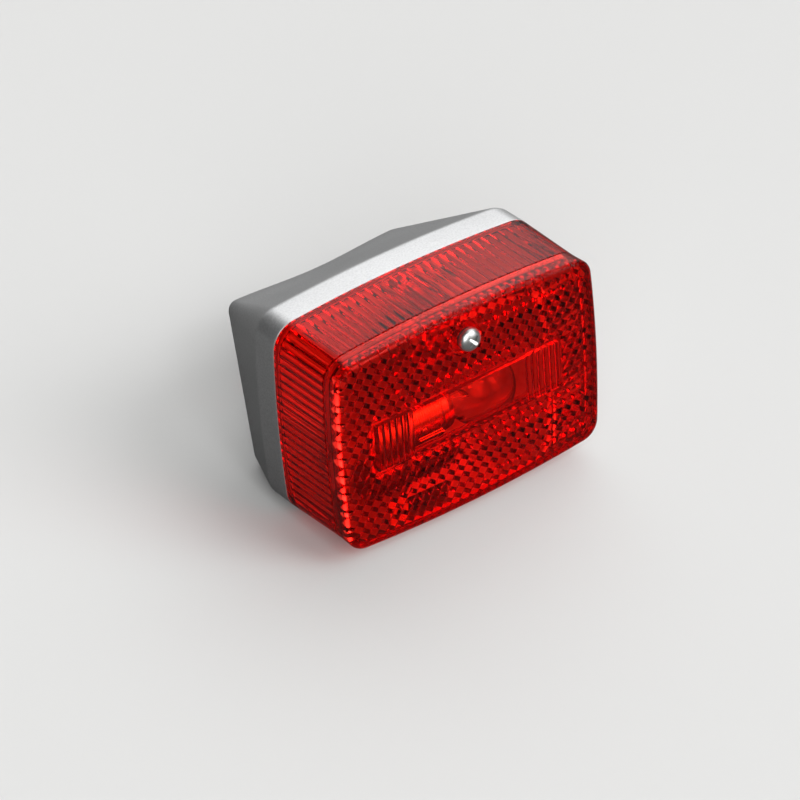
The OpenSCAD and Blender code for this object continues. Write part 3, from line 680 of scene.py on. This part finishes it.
# ---------------------------------------------------------------- lens body
def fluted_bore():
    """bore with flutes cut into the wall, eight points to a flute"""
    flutes = (13, 4, 9)                          # per quarter: top, corner, side
    steps = tuple(8 * count for count in flutes)
    quarter = sum(steps)
    wall, flute_depth = 2.2, 0.65
    shallow, deep = outline(wall, steps=steps), outline(wall + flute_depth, steps=steps)
    folded = [min(i % (2 * quarter), 2 * quarter - i % (2 * quarter)) for i in range(len(shallow))]
    depth = np.array([math.sin(math.pi * (i % 8) / 8) for i in folded])
    # shallower along the top and bottom walls than at the sides
    depth *= 1 - 0.4 * np.clip((np.abs(shallow[:, 1]) - HALF_HEIGHT + 12) / 6, 0, 1)
    return extrude(shallow + (deep - shallow) * depth[:, None], ALONG_Y, SEAM_Y + 1.5, 1)


def build_lens_body():
    rings = [ring(SEAM_Y + 0.03, SEAM_INSET + 0.3), ring(SEAM_Y + 0.10, SEAM_INSET + 0.08),
             ring(SEAM_Y + 0.25, SEAM_INSET)]
    rings += [ring(SEAM_Y + 0.2 + (-SEAM_Y - 0.4) * t, SEAM_INSET * (1 - t) + 0.003 * t)
              for t in (0.33, 0.66)]
    rings += [ring(-0.2, 0.005), ring(-0.09, 0.05), ring(-0.05, 0.16)]
    body = loft(rings, "lens_body_shell")
    cut(body, fluted_bore(), loft([ring(SEAM_Y - 1, 3.5), ring(SEAM_Y + 2, 3.5)]))
    # tongue at the joint plane, lip at the seam
    add(body, hoop([ring(-1, 1.6), ring(1.6, 1.6), ring(1.75, 1.75)],
                   [ring(-2, 2.8), ring(3, 2.8)]))
    add(body, hoop([ring(SEAM_Y - 1.5, 2.62), ring(SEAM_Y - 1.35, 2.5), ring(SEAM_Y + 0.5, 2.5)],
                   [ring(SEAM_Y - 3, 3.5), ring(SEAM_Y + 3, 3.5)]))
    # pillar for the screw, with a web up to the top wall
    add(body, cylinder(*SCREW_AXIS, FRONT_Y + 3.3, 0.15, 4.6, 72))
    add(body, box((-1.1, SEAM_Y + 0.5, SCREW_Z), (1.1, -2, HALF_HEIGHT - 1.5)))
    cut(body, cylinder(*SCREW_AXIS, FRONT_Y - 2, 2, 2.1, 48))
    return finish_mesh(body, 24)


# ---------------------------------------------------------------- reflex cap
def prism_block(base_y, closed_y):
    """corner cubes over a rectangle, apexes towards +Y, closed by a flat face at closed_y"""
    radius = PRISM_PITCH / math.sqrt(3)
    cells = [(i, j) for i in range(-16, 17) for j in range(-12, 13)]
    present = set(cells)
    verts, faces, index = [], [], {}

    def vert(x, y, z):
        key = (round(x * 1000), round(y * 1000), round(z * 1000))
        if key not in index:
            index[key] = len(verts)
            verts.append((x, y, z))
        return index[key]

    for i, j in cells:
        odd = j % 2
        x, z = (i + 0.5 * odd) * PRISM_PITCH, j * PRISM_PITCH * math.sqrt(3) / 2
        apex = vert(x, base_y + 2 * PRISM_STEP, z)
        rim, floor_corners = [], []
        for k in range(6):
            angle = math.radians(60 * k - 30)
            rim_x, rim_z = x + radius * math.cos(angle), z + radius * math.sin(angle)
            rim.append(vert(rim_x, base_y + (PRISM_STEP if k % 2 == 0 else 0), rim_z))
            floor_corners.append(vert(rim_x, closed_y, rim_z))
        for k in (0, 2, 4):
            faces.append((apex, rim[k], rim[k + 1], rim[(k + 2) % 6]))
        faces.append(tuple(floor_corners[::-1]))
        # side walls where the field ends
        neighbours = ((i + 1, j), (i + odd, j + 1), (i + odd - 1, j + 1),
                      (i - 1, j), (i + odd - 1, j - 1), (i + odd, j - 1))
        for k, neighbour in enumerate(neighbours):
            if neighbour not in present:
                q = (k + 1) % 6
                faces.append((rim[q], rim[k], floor_corners[k], floor_corners[q]))
    return mesh_object(verts, faces)


def window_box(margin, start_y, end_y):
    half_x, half_z = WINDOW_WIDTH / 2 + margin, WINDOW_HEIGHT / 2 + margin
    return box((-half_x, start_y, WINDOW_Z - half_z), (half_x, end_y, WINDOW_Z + half_z))


def prism_field():
    """the prisms clipped to the plate, without the window and the screw's place"""
    y = CAP_INNER_Y
    field = prism_block(y, y - 0.6)
    combine(field, loft([ring(y - 1, 2.2), ring(y + 4, 2.2)]), "INTERSECT")
    return cut(field, window_box(0.6, y - 2, y + 5), cylinder(*SCREW_AXIS, y - 2, y + 5, 5.2))


def window_ribs(side):
    """six upright half-round ribs at one end of the window"""
    points = []                                   # x, y
    for i in range(6):
        for k in range(9):
            a = math.pi * k / 8
            points.append((side * WINDOW_WIDTH / 2 - side * (2.0 * i + 1.0 - math.cos(a)),
                           CAP_INNER_Y + 0.75 * math.sin(a)))
    points += [(points[-1][0], CAP_INNER_Y - 0.3), (points[0][0], CAP_INNER_Y - 0.3)]
    half = WINDOW_HEIGHT / 2
    return extrude(points, ALONG_Z, WINDOW_Z - half - 0.4, WINDOW_Z + half + 0.4)


def cap_solid():
    edge_radius = 1.5                             # rounding of the front edge
    front_corner = CORNER_RADIUS - 2
    face = outline(DRAFT + edge_radius, 4.4)
    rings = []
    for k in (0.03, 0.15, 0.3, 0.45, 0.6, 0.72, 0.82, 0.9, 0.96, 1.0):
        rings.append(np.insert(face * k, 1, FRONT_Y - CROWN * (1 - k * k), axis=1))
    for i in range(1, 9):
        t = math.pi / 2 * i / 8
        inward = edge_radius * (1 - math.sin(t))
        rings.append(ring(FRONT_Y + edge_radius * (1 - math.cos(t)), DRAFT + inward - 0.02,
                          max(front_corner - inward, 3.0)))
    wall = SEAM_Y - FRONT_Y - edge_radius - 0.6
    for t in (0.35, 0.7):
        rings.append(ring(SEAM_Y - 0.6 - wall * (1 - t), DRAFT + (SEAM_INSET - DRAFT) * t,
                          front_corner + (2 - SEAM_INSET) * t))
    for gap, extra in ((0.25, 0), (0.10, 0.08), (0.03, 0.3)):
        rings.append(ring(SEAM_Y - gap, SEAM_INSET + extra, CORNER_RADIUS - SEAM_INSET))
    return loft(rings, "reflex_cap_shell")


def build_cap():
    y = CAP_INNER_Y
    cap = cap_solid()
    cut(cap, loft([ring(y, 2.6), ring(y + 0.25, 2.4), ring(SEAM_Y + 1, 2.4)]))
    add(cap, prism_field())
    # frame round the window
    add(cap, cut(window_box(1.2, y - 0.2, y + 2 * PRISM_STEP + 0.3), window_box(0, y - 1, y + 6)))
    for side in (-1, 1):
        add(cap, window_ribs(side))
    # collar, screw hole and the recess for the screw head
    add(cap, cylinder(*SCREW_AXIS, y - 0.3, y + 1.2, 4.9, 72))
    recess = [(0, FRONT_Y - 3), (4.45, FRONT_Y - 3), (4.3, FRONT_Y - 0.3),
              (4.1, FRONT_Y + 0.9), (0, FRONT_Y + 0.9)]
    cut(cap, cylinder(*SCREW_AXIS, FRONT_Y - 2, FRONT_Y + 8, 2.05, 48),
        turned(recess, *SCREW_AXIS, 72))
    return finish_mesh(cap, 20)


# ---------------------------------------------------------------- lens screw
def cross_slot(degrees, head_top):
    """one arm of the cross recess, tapering inwards"""
    cos, sin = math.cos(math.radians(degrees)), math.sin(math.radians(degrees))
    verts = []
    # half length, half width, y
    for length, width, y in ((2.15, 0.48, head_top - 0.3), (1.95, 0.42, head_top + 0.4),
                             (0.35, 0.35, head_top + 2.1)):
        for x, z in ((-length, -width), (length, -width), (length, width), (-length, width)):
            verts.append((x * cos - z * sin, y, SCREW_Z + x * sin + z * cos))
    faces = [(0, 1, 2, 3), (11, 10, 9, 8)]
    for j in (0, 4):
        for i in range(4):
            k = (i + 1) % 4
            faces.append((j + i, j + 4 + i, j + 4 + k, j + k))
    return mesh_object(verts, faces)


def build_screw():
    head_height, head_radius, shank_radius, length = 2.6, 3.5, 1.7, 38.0
    pitch, core, crest = 1.3, 1.28, 1.71
    end = FRONT_Y + length
    thread_start, thread_end = end - 12.8, end - 0.35
    profile = [(0, FRONT_Y - head_height)]
    for i in range(1, 15):
        a = math.pi / 2 * i / 14
        profile.append((head_radius * math.sin(a) ** 0.85,
                        FRONT_Y - 0.35 - (head_height - 0.35) * math.cos(a) ** 0.8))
    profile += [(head_radius, FRONT_Y - 0.12), (3.4, FRONT_Y), (shank_radius, FRONT_Y),
                (shank_radius, end - 13)]
    profile += [(crest, float(y)) for y in np.linspace(thread_start, thread_end, 200)]
    profile += [(1.0, end - 0.02), (0, end)]

    def thread_radius(angle, y, radius):
        if not thread_start <= y <= thread_end:
            return radius
        phase = (y / pitch - angle / (2 * math.pi)) % 1.0
        ridge = max(0.0, 1 - abs(phase - 0.5) / 0.30)
        fade = min(1, (y - thread_start) / 1.0, (thread_end - y) / 1.2)
        base = core + (shank_radius - core) * max(0, 1 - (y - thread_start) / 0.8)
        return base + (crest - core) * ridge * max(fade, 0) * (base < 1.5)

    screw = turned(profile, *SCREW_AXIS, 64, "lens_screw_steel", thread_radius)
    for degrees in (45, 135):
        cut(screw, cross_slot(degrees, FRONT_Y - head_height))
    return finish_mesh(screw, 35)


# ---------------------------------------------------------------- socket and plate
def slot_cutters():
    """bayonet slots: a turn of 20 degrees with a push of 1, then straight out towards +X"""
    push, twist, half_width, inner, outer = 1.0, 20, 1.12, 4, 12
    cutters = []
    for start in (90, 270):
        for i in range(9):
            angle = math.radians(start + twist * i / 8)
            centre = Vector((PIN_X - push * i / 8, BULB_Y, BULB_Z))
            radial = Vector((0, -math.sin(angle), math.cos(angle)))
            cutters.append(cylinder(centre, radial, inner, outer, half_width, 24))
        across = Vector((0, math.cos(angle), math.sin(angle)))
        sides = ((0, -half_width), (12, -half_width), (12, half_width), (0, half_width))
        cutters.append(block([tuple(centre + Vector((x, 0, 0)) + across * w + radial * r)
                              for r in (inner, outer) for x, w in sides]))
    return cutters


def build_socket():
    bore, outer, end, rim, ear = 7.65, 8.15, -29.0, -3.0, EAR_X
    profile = [                                   # radius, x
        (outer, end + 0.5), (outer - 0.12, end + 0.18), (outer - 0.45, end),
        (5.2, end), (5.2, end + 0.5), (bore, end + 0.5),
        # rolled rim
        (bore, rim - 0.2), (bore + 0.12, rim + 0.25), (bore + 0.35, rim + 0.35),
        (outer + 0.2, rim + 0.25), (outer + 0.25, rim - 0.05), (outer + 0.15, rim - 0.4),
        (outer, rim - 0.7),
        # beads on both sides of the plate's ear
        (outer, ear + 2.3), (outer + 0.25, ear + 1.95), (outer + 0.95, ear + 1.55),
        (outer + 1, ear + 1.3), (outer + 1, ear + 1.02), (outer + 0.02, ear + 1.02),
        (outer + 0.02, ear - 0.02), (outer + 0.8, ear - 0.02), (outer + 0.8, ear - 0.4),
        (outer + 0.55, ear - 0.6), (outer, ear - 0.85)]
    socket = turned(profile, *bulb_line(), 128, "socket_shell_brass")
    cut(socket, *slot_cutters())
    return finish_mesh(socket, 30)


def build_plate():
    """sheet plate with an ear bent forward at its -X end"""
    half = 11                                     # half height and round end of the ear
    bend_centre = (-16.4, 5.4)
    section = [(-14, 6), (-14, 7), *arc(bend_centre, 1.6, 90, 90, 8),
               (EAR_X, 4), (EAR_X + 1, 4), *arc(bend_centre, 0.6, 180, -90, 8)]     # x, y
    left, right, bottom, top, corner = -16.2, 17.0, BULB_Z - 12, BULB_Z + 13, 2.0
    face = [(left, bottom), (left, top),
            *arc((right - corner, top - corner), corner, 90, -90, 8),
            *arc((right - corner, bottom + corner), corner, 0, -90, 8)]     # x, z
    ear = [(5.0, BULB_Z - half), (5.0, BULB_Z + half),
           *arc((BULB_Y, BULB_Z), half, 90, 180, 40)]                       # y, z
    plate = extrude(section, ALONG_Z, BULB_Z - half, BULB_Z + half, "bulb_plate_steel")
    add(plate, extrude(face, ALONG_Y, 6, 7), extrude(ear, ALONG_X, EAR_X, EAR_X + 1))
    cut(plate, cylinder(*bulb_line(), -20, -16, 8.17, 96))
    cut(plate, *[cylinder(*rivet_line(x), 4, 9, 1.55, 32) for x in (-RIVET_X, RIVET_X)])
    return finish_mesh(plate, 30, bevel=0.12)


def build_rivets():
    """the rivet at -X sits on the ground tab, the other one on the plate"""
    profile = [                                   # radius, y from the underside of the head
        (0, -1.1), (1.2, -1.1), (2.1, -0.95), (2.7, -0.6), (2.98, -0.2), (2.95, 0),
        (1.5, 0), (1.5, 8.8), (1.35, 9), (0.9, 9), (0.9, 7), (0, 6.8)]
    return finish_mesh(add(*[turned(profile, *rivet_line(x, y), 48, "plate_rivets_steel")
                             for x, y in ((-RIVET_X, 5.18), (RIVET_X, 5.98))]), 35)


def build_ground_tab():
    low = BULB_Z - 18
    blade = [(-13.15, BULB_Z - 3), (-13.15, low), (-12.2, low - 1.2),
             (-7.8, low - 1.2), (-6.85, low), (-6.85, BULB_Z - 3)]          # x, z
    axis = rivet_line(-RIVET_X)
    tab = cylinder(*axis, TAB_FRONT_Y, TAB_BACK_Y, 4, 64, "ground_tab_brass")
    add(tab, extrude(blade, ALONG_Y, TAB_FRONT_Y, TAB_BACK_Y))
    cut(tab, cylinder(*axis, 0, 10, 1.55, 32))
    cut(tab, cylinder((-RIVET_X, 0, BULB_Z - 15.5), (0, 1, 0), 0, 10, 0.9, 32))
    return finish_mesh(tab, 35, bevel=0.1)


# ---------------------------------------------------------------- contacts
def build_washer():
    """disc in the closed end of the socket, slotted for the feed tab's blade"""
    profile = [(0, -28.48), (7.45, -28.48), (7.6, -28.35), (7.6, -27.1), (7.45, -26.98),
               (0, -26.98)]
    washer = turned(profile, *bulb_line(), 96, "seat_washer_fibre")
    cut(washer, box((-30, BULB_Y - 3.3, BULB_Z - 0.55), (-25, BULB_Y + 3.3, BULB_Z + 0.55)))
    return finish_mesh(washer, 35)


def build_feed_tab():
    x = FEED_X
    profile = [(0, x), (5.5, x), (5.6, x + 0.1), (5.6, x + 0.4), (5.5, x + 0.5), (0, x + 0.5)]
    half = 3.15
    blade = [(x + 0.2, BULB_Y - half), (x + 0.2, BULB_Y + half), (x - 9.9, BULB_Y + half),
             (x - 11, BULB_Y + 2.2), (x - 11, BULB_Y - 2.2), (x - 9.9, BULB_Y - half)]    # x, y
    tab = turned(profile, *bulb_line(), 72, "feed_tab_brass")
    add(tab, extrude(blade, ALONG_Z, BULB_Z - 0.4, BULB_Z + 0.4))
    cut(tab, cylinder((x - 8.5, BULB_Y, BULB_Z), (0, 0, 1), -3, 3, 0.9, 32))
    return finish_mesh(tab, 35, bevel=0.08)


def build_spring():
    coil_radius, wire_radius, turns, steps = 4.4, 0.4, 4, 160
    start, end = FEED_FRONT_X + 0.42, DISC_X - 0.42
    path = []
    for i in range(steps + 1):
        t = i / steps
        # the pitch is smaller at both ends
        along = t - 0.035 * math.sin(2 * math.pi * t)
        a = 2 * math.pi * turns * t
        path.append((start + (end - start) * along,
                     BULB_Y + coil_radius * math.cos(a), BULB_Z + coil_radius * math.sin(a)))
    return finish_mesh(tube(path, wire_radius, 14, "contact_spring_steel"), 50)


def build_disc():
    profile = [                                   # radius, x from DISC_X
        (1.27, 0), (7.3, 0), (7.59, 0.25), (7.59, 2.05), (7.3, 2.3), (4.2, 2.3),
        (3.9, 1.9), (3.1, 1.9), (2.95, 2.3), (1.27, 2.3)]
    return finish_mesh(turned(profile, *bulb_line(DISC_X), 96, "contact_disc_phenolic"), 35)


def build_centre_contact():
    profile = [                                   # radius, x from DISC_X
        (0, -0.55), (1.0, -0.6), (1.7, -0.55), (2.0, -0.3), (2.1, -0.02), (1.25, -0.02),
        (1.25, 2.32), (2.5, 2.32), (2.62, 2.6), (2.5, 2.9), (2.0, 3.07), (0, NOSE)]
    return finish_mesh(turned(profile, *bulb_line(DISC_X), 64, "centre_contact_brass"), 40)


# ---------------------------------------------------------------- rubber parts
def build_grommet():
    profile = [                                   # radius, distance out of the rear face
        (3.9, -6.3), (4.2, -6.6), (7.2, -6.6), (7.75, -6.4), (8.0, -5.9), (8.0, -4.45),
        (6.45, -4.45), (6.45, -1.55), (8.35, -1.55), (8.35, -0.5), (8.2, -0.2),
        (7.9, -0.1), (4.2, -0.1), (3.9, -0.4)]
    return finish_mesh(turned(profile, *GROMMET_AXIS, 96, "cable_grommet_rubber"), 35)


def build_gasket():
    section = [(1.82, 1.75), (1.9, 1.62), (2.1, 1.55), (2.98, 1.55),
               (2.98, 2.85), (2.1, 2.85), (1.9, 2.78), (1.82, 2.65)]        # y, inset
    rings = [ring(y, inset) for y, inset in section]
    return finish_mesh(loft(rings, "lens_gasket_cord", closed=True), 50)


def build_seal():
    angles = [2 * math.pi * i / 24 for i in range(24)]
    profile = [(2.6 + 0.75 * math.cos(a), FRONT_Y + 0.45 + 0.44 * math.sin(a)) for a in angles]
    return finish_mesh(turned(profile, *SCREW_AXIS, 72, "screw_seal_ring"), 60)


# ---------------------------------------------------------------- bulb
def build_bulb_cap():
    r, tip, end = CAP_RADIUS, TIP_X, CAP_END_X
    profile = [                                   # radius, x
        (r, tip + 2.5), (r, end - 1.9), (r - 0.1, end - 1.5), (r - 0.3, end - 0.2),
        (r - 0.4, end), (r - 0.8, end), (r - 0.78, end - 0.3), (r - 0.75, end - 1.6),
        (r - 0.4, end - 2.0), (r - 0.4, tip + 2.75), (5.4, tip + 1.5), (5.5, tip + 1.2),
        (6.2, tip + 1.4), (7.0, tip + 1.95)]
    cap = turned(profile, *bulb_line(), 112, "bulb_cap_brass")
    for side in (-1, 1):
        cut(cap, cylinder((PIN_X, BULB_Y, BULB_Z), (0, side, 0), 4, 12, 1.01, 32))
    return finish_mesh(cap, 30)


def build_bulb_pins():
    r = CAP_RADIUS
    profile = [(0, r - 0.8), (1.0, r - 0.8), (1.0, r + 0.95), (0.8, r + 1.15),
               (0.4, r + 1.2), (0, r + 1.2)]
    pins = [turned(profile, (PIN_X, BULB_Y, BULB_Z), (0, side, 0), 32, "bulb_pins_brass")
            for side in (-1, 1)]
    return finish_mesh(add(*pins), 40)


def build_bulb_insulator():
    profile = [                                   # radius, x from TIP_X
        (1.9, 0.6), (3.0, 0.58), (4.2, 0.75), (5.1, 1.05), (5.35, 1.25), (5.35, 1.55),
        (6.9, 2.75), (6.9, 3.6), (1.9, 3.6)]
    return finish_mesh(turned(profile, *bulb_line(TIP_X), 72, "bulb_insulator_vitrite"), 35)


def build_bulb_contact():
    profile = [                                   # radius, x from TIP_X
        (0, 0), (0.9, 0.01), (1.6, 0.07), (2.1, 0.22), (2.3, 0.4), (2.25, 0.55),
        (1.85, 0.6), (1.85, 2.6), (0, 2.6)]
    return finish_mesh(turned(profile, *bulb_line(TIP_X), 48, "bulb_contact_solder"), 40)


def build_bulb_glass():
    """globe with its neck; the profile runs up the outside and back down the inside"""
    radius, thickness, neck, end = 11.0, 0.5, 5.9, CAP_END_X
    centre_x = 4.54 + math.sqrt(radius * radius - neck * neck)

    def globe(r, neck_r, steps):
        start = math.asin(neck_r / r)
        angles = [start + (math.pi - start) * i / 28 for i in steps]
        return [(r * math.sin(a), centre_x - r * math.cos(a)) for a in angles]

    profile = [(5.6, end - 4), (neck, end - 4), (neck, end - 0.3)]
    # a small fillet where neck and globe meet
    profile += [(neck, end + 2.2), (5.98, end + 2.9)]
    profile += globe(radius, neck, range(1, 29))
    profile += globe(radius - thickness, 5.4, range(28, 0, -1))
    profile += [(5.45, end + 2.6), (5.4, end + 2.0), (5.4, end - 3.4), (2.5, end - 3.4),
                (2.5, end - 4)]
    return finish_mesh(turned(profile, *bulb_line(), 96, "bulb_glass_globe"), 40)


def build_bulb_stem():
    profile = [                                   # radius, x from CAP_END_X
        (0, -4.4), (2.45, -4.4), (2.45, -3.6), (2.0, -2.4), (1.6, -0.6), (1.5, 0.8),
        (1.5, 2.2), (1.35, 2.7), (0.9, 3.15), (0, 3.2)]
    stem = turned(profile, *bulb_line(CAP_END_X), 48, "bulb_stem_glass")
    for side in (-1, 1):
        cut(stem, cylinder((0, BULB_Y + side * 0.6, BULB_Z), (1, 0, 0),
                           CAP_END_X + 2.0, CAP_END_X + 4, 0.22, 16))
    return finish_mesh(stem, 50)


def bulb_lead(side):
    """one lead wire with a bead round the end of the filament"""
    stations = [                                  # x, distance from the bulb axis
        (CAP_END_X + 2.02, 0.6), (CAP_END_X + 3.2, 0.6), (CAP_END_X + 3.5, 0.63),
        (CAP_END_X + 3.75, 0.72), (FILAMENT_X - 0.5, 2.5), (FILAMENT_X - 0.2, 2.63),
        (FILAMENT_X + 0.1, 2.7)]
    path = [(x, BULB_Y + side * off, BULB_Z) for x, off in stations]
    angles = [math.pi * i / 8 for i in range(1, 8)]
    bead = [(0, -0.3), *[(0.3 * math.sin(a), -0.3 * math.cos(a)) for a in angles], (0, 0.3)]
    return add(tube(path, 0.2, 12, "bulb_leads_nickel"),
               turned(bead, (FILAMENT_X, BULB_Y + side * 2.7, BULB_Z), (0, 1, 0), 16))


def build_bulb_leads():
    return finish_mesh(add(*[bulb_lead(side) for side in (-1, 1)]), 50)


def build_filament():
    turns, length, coil_radius = 9, 4.6, 0.42
    steps = turns * 16
    path = []
    for i in range(steps + 1):
        t = i / steps
        a = 2 * math.pi * turns * t
        path.append((FILAMENT_X + coil_radius * math.cos(a), BULB_Y - length / 2 + length * t,
                     BULB_Z + coil_radius * math.sin(a)))
    return finish_mesh(tube(path, 0.1, 8, "bulb_filament_coil"), 60)


# ---------------------------------------------------------------- assembly
# builder, material, body it rides on, node it replaces, slot
PARTS = [
    (build_housing, "silver_lacquer", "base", "housing", "housing_silver"),
    (build_lens_body, "red_lens", "lens", "lens_body", "lens_red"),
    (build_cap, "red_reflex", "lens", "reflex_cap", "reflex_red"),
    (build_screw, "zinc_bright", "screw", "lens_screw", "screw_zinc"),
    (build_gasket, "black_rubber", "base", "lens_gasket", "rubber_black"),
    (build_seal, "black_rubber", "seal", "screw_seal", "rubber_black"),
    (build_plate, "zinc_sheet", "base", "bulb_plate", "plate_zinc"),
    (build_rivets, "rivet_steel", "base", "plate_rivets", "rivet_steel"),
    (build_ground_tab, "brass_strip", "base", "ground_tab", "terminal_brass"),
    (build_socket, "brass_socket", "base", "socket_shell", "socket_brass"),
    (build_washer, "fibre", "base", "seat_washer", "fibre_brown"),
    (build_feed_tab, "brass_strip", "base", "feed_tab", "terminal_brass"),
    (build_spring, "spring_steel", "base", "contact_spring", "spring_steel"),
    (build_disc, "phenolic", "contact", "contact_disc", "phenolic_dark"),
    (build_centre_contact, "brass_strip", "contact", "centre_contact", "terminal_brass"),
    (build_grommet, "black_rubber", "base", "cable_grommet", "rubber_black"),
    (build_bulb_cap, "bulb_cap_metal", "bulb", "bulb_cap", "cap_brass"),
    (build_bulb_pins, "bulb_cap_metal", "bulb", "bulb_pins", "cap_brass"),
    (build_bulb_insulator, "vitrite", "bulb", "bulb_insulator", "vitrite_black"),
    (build_bulb_contact, "solder", "bulb", "bulb_contact", "solder_grey"),
    (build_bulb_glass, "bulb_glass_clear", "bulb", "bulb_glass", "bulb_clear"),
    (build_bulb_stem, "bulb_glass_clear", "bulb", "bulb_stem", "bulb_clear"),
    (build_bulb_leads, "nickel_wire", "bulb", "bulb_leads", "wire_nickel"),
    (build_filament, "tungsten", "bulb", "bulb_filament", "tungsten_dark"),
]
built = {}
for build, material_name, body_name, part_node, slot_name in PARTS:
    part = build()
    part.data.materials.clear()
    part.data.materials.append(MATERIALS[material_name])
    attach(part, body_name)
    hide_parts(part_node)
    built[part_node] = part
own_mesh(built["contact_spring"])


# ---------------------------------------------------------------- stage
def floor_material():
    """pale to the camera, darker in reflections, so the lamp keeps its contrast"""
    colour = (0.70, 0.70, 0.692)
    material, tree = new_material("floor")
    mottle = noise(tree, coordinates(tree), scale=6, detail=2)
    pale = ramp(tree, mottle, (0.0, tuple(c * 0.985 for c in colour)), (1.0, colour))
    camera_ray = node(tree, "LightPath").outputs["Is Camera Ray"]
    shown = mix_colours(tree, camera_ray, (*[c * 0.14 for c in colour], 1), pale)
    set_output(tree, principled(tree, Base_Color=shown, Roughness=0.75, Specular_IOR_Level=0.2))
    return material


def make_floor():
    """the lamp stands on its rim and on the lower edge of its rear face, so the floor
    leans by that little in the lamp's own frame"""
    bm = bmesh.new()
    bmesh.ops.create_grid(bm, x_segments=1, y_segments=1, size=0.5)
    mesh = bpy.data.meshes.new("floor")
    bm.to_mesh(mesh)
    bm.free()
    floor = bpy.data.objects.new("floor", mesh)
    COLLECTION.objects.link(floor)
    normal = Vector((0, -0.106, 0.9944)).normalized()
    floor.scale = (8, 8, 1)
    floor.rotation_euler = normal.to_track_quat("Z", "Y").to_euler()
    floor.location = Vector(to_frame((0, 0, -32.35)))
    floor.data.materials.append(floor_material())


def make_camera():
    """seen from the front, above and to the -X side"""
    forward = Vector((0.468489, 0.683353, -0.559952)).normalized()
    right = Vector((0.797978, -0.599306, -0.063743)).normalized()
    up = right.cross(forward)
    data = bpy.data.cameras.new("camera")
    data.sensor_width = 36
    data.lens = 190.035
    data.clip_start = 0.01
    camera = bpy.data.objects.new("camera", data)
    COLLECTION.objects.link(camera)
    position = Vector(to_frame((-553.293, -800.696, 645.830)))
    turn = Matrix((right, up, -forward)).transposed().to_4x4()
    camera.matrix_world = Matrix.Translation(position) @ turn
    bpy.context.scene.camera = camera


def make_spark_light():
    """small lamp in front, aimed at the frame's origin"""
    data = bpy.data.lights.new("spark", "AREA")
    data.shape = "RECTANGLE"
    data.size = data.size_y = 0.16
    data.energy = 1.5
    data.color = (1, 1, 1)
    light = bpy.data.objects.new("spark", data)
    COLLECTION.objects.link(light)
    light.location = (-0.20, -1.05, 0.86)
    aim = Vector((0, 0, 0)) - Vector((-0.20, -1.05, 0.86))
    light.rotation_euler = aim.to_track_quat("-Z", "Y").to_euler()


# Round soft lights: azimuth from +X towards +Y, elevation, strength,
# angle where the light ends, angle within which it is full. Degrees.
SOFT_LIGHTS = [
    # behind and to the right, seen in the upper faces
    (45, 55, 1.35, 34, 10), (67.5, 25, 0.55, 34, 10),
    (22.5, 25, 0.6, 34, 10), (0, 55, 0.9, 34, 10),
    # fill from the front right and front left
    (303, 38, 5.0, 24, 8), (300, 15, 2.0, 24, 8), (236, 15, 2.9, 24, 8),
    (255, 15, 1.0, 24, 8), (242, 38, 2.4, 24, 8),
]


def make_world():
    """soft studio for the lamp, an even pale background for the camera"""
    world = bpy.data.worlds.new("world")
    world.use_nodes = True
    bpy.context.scene.world = world
    tree = world.node_tree
    tree.nodes.clear()
    view = node(tree, "TexCoord").outputs["Generated"]
    strength = 0.03                               # base level
    for azimuth, elevation, value, limit, full in SOFT_LIGHTS:
        a, e = math.radians(azimuth), math.radians(elevation)
        direction = Vector((math.cos(e) * math.cos(a), math.cos(e) * math.sin(a), math.sin(e)))
        facing = node(tree, "VectorMath", {0: view, 1: direction.normalized()},
                      operation="DOT_PRODUCT").outputs["Value"]
        lobe = node(tree, "MapRange", {
            "From Min": math.cos(math.radians(limit)), "From Max": math.cos(math.radians(full)),
            "To Min": 0.0, "To Max": value, "Value": facing}, interpolation_type="SMOOTHSTEP")
        strength = math_node(tree, "ADD", lobe.outputs["Result"], strength)
    studio = node(tree, "Background", {"Color": (1, 1, 1, 1), "Strength": strength})
    backdrop = node(tree, "Background", {"Color": (0.9, 0.9, 0.89, 1), "Strength": 0.75})
    camera_ray = node(tree, "LightPath").outputs["Is Camera Ray"]
    surface = mix_shaders(tree, camera_ray, studio.outputs[0], backdrop.outputs[0])
    node(tree, "OutputWorld", {"Surface": surface})


make_floor()
make_camera()
make_spark_light()
make_world()

scene = bpy.context.scene
scene.view_settings.view_transform = "Standard"
scene.view_settings.look = "None"
scene.cycles.max_bounces = 24
scene.cycles.transmission_bounces = 20
scene.cycles.transparent_max_bounces = 24
scene.cycles.glossy_bounces = 6
scene.cycles.sample_clamp_indirect = 6.0
scene.cycles.use_denoising = True

bpy.context.view_layer.update()
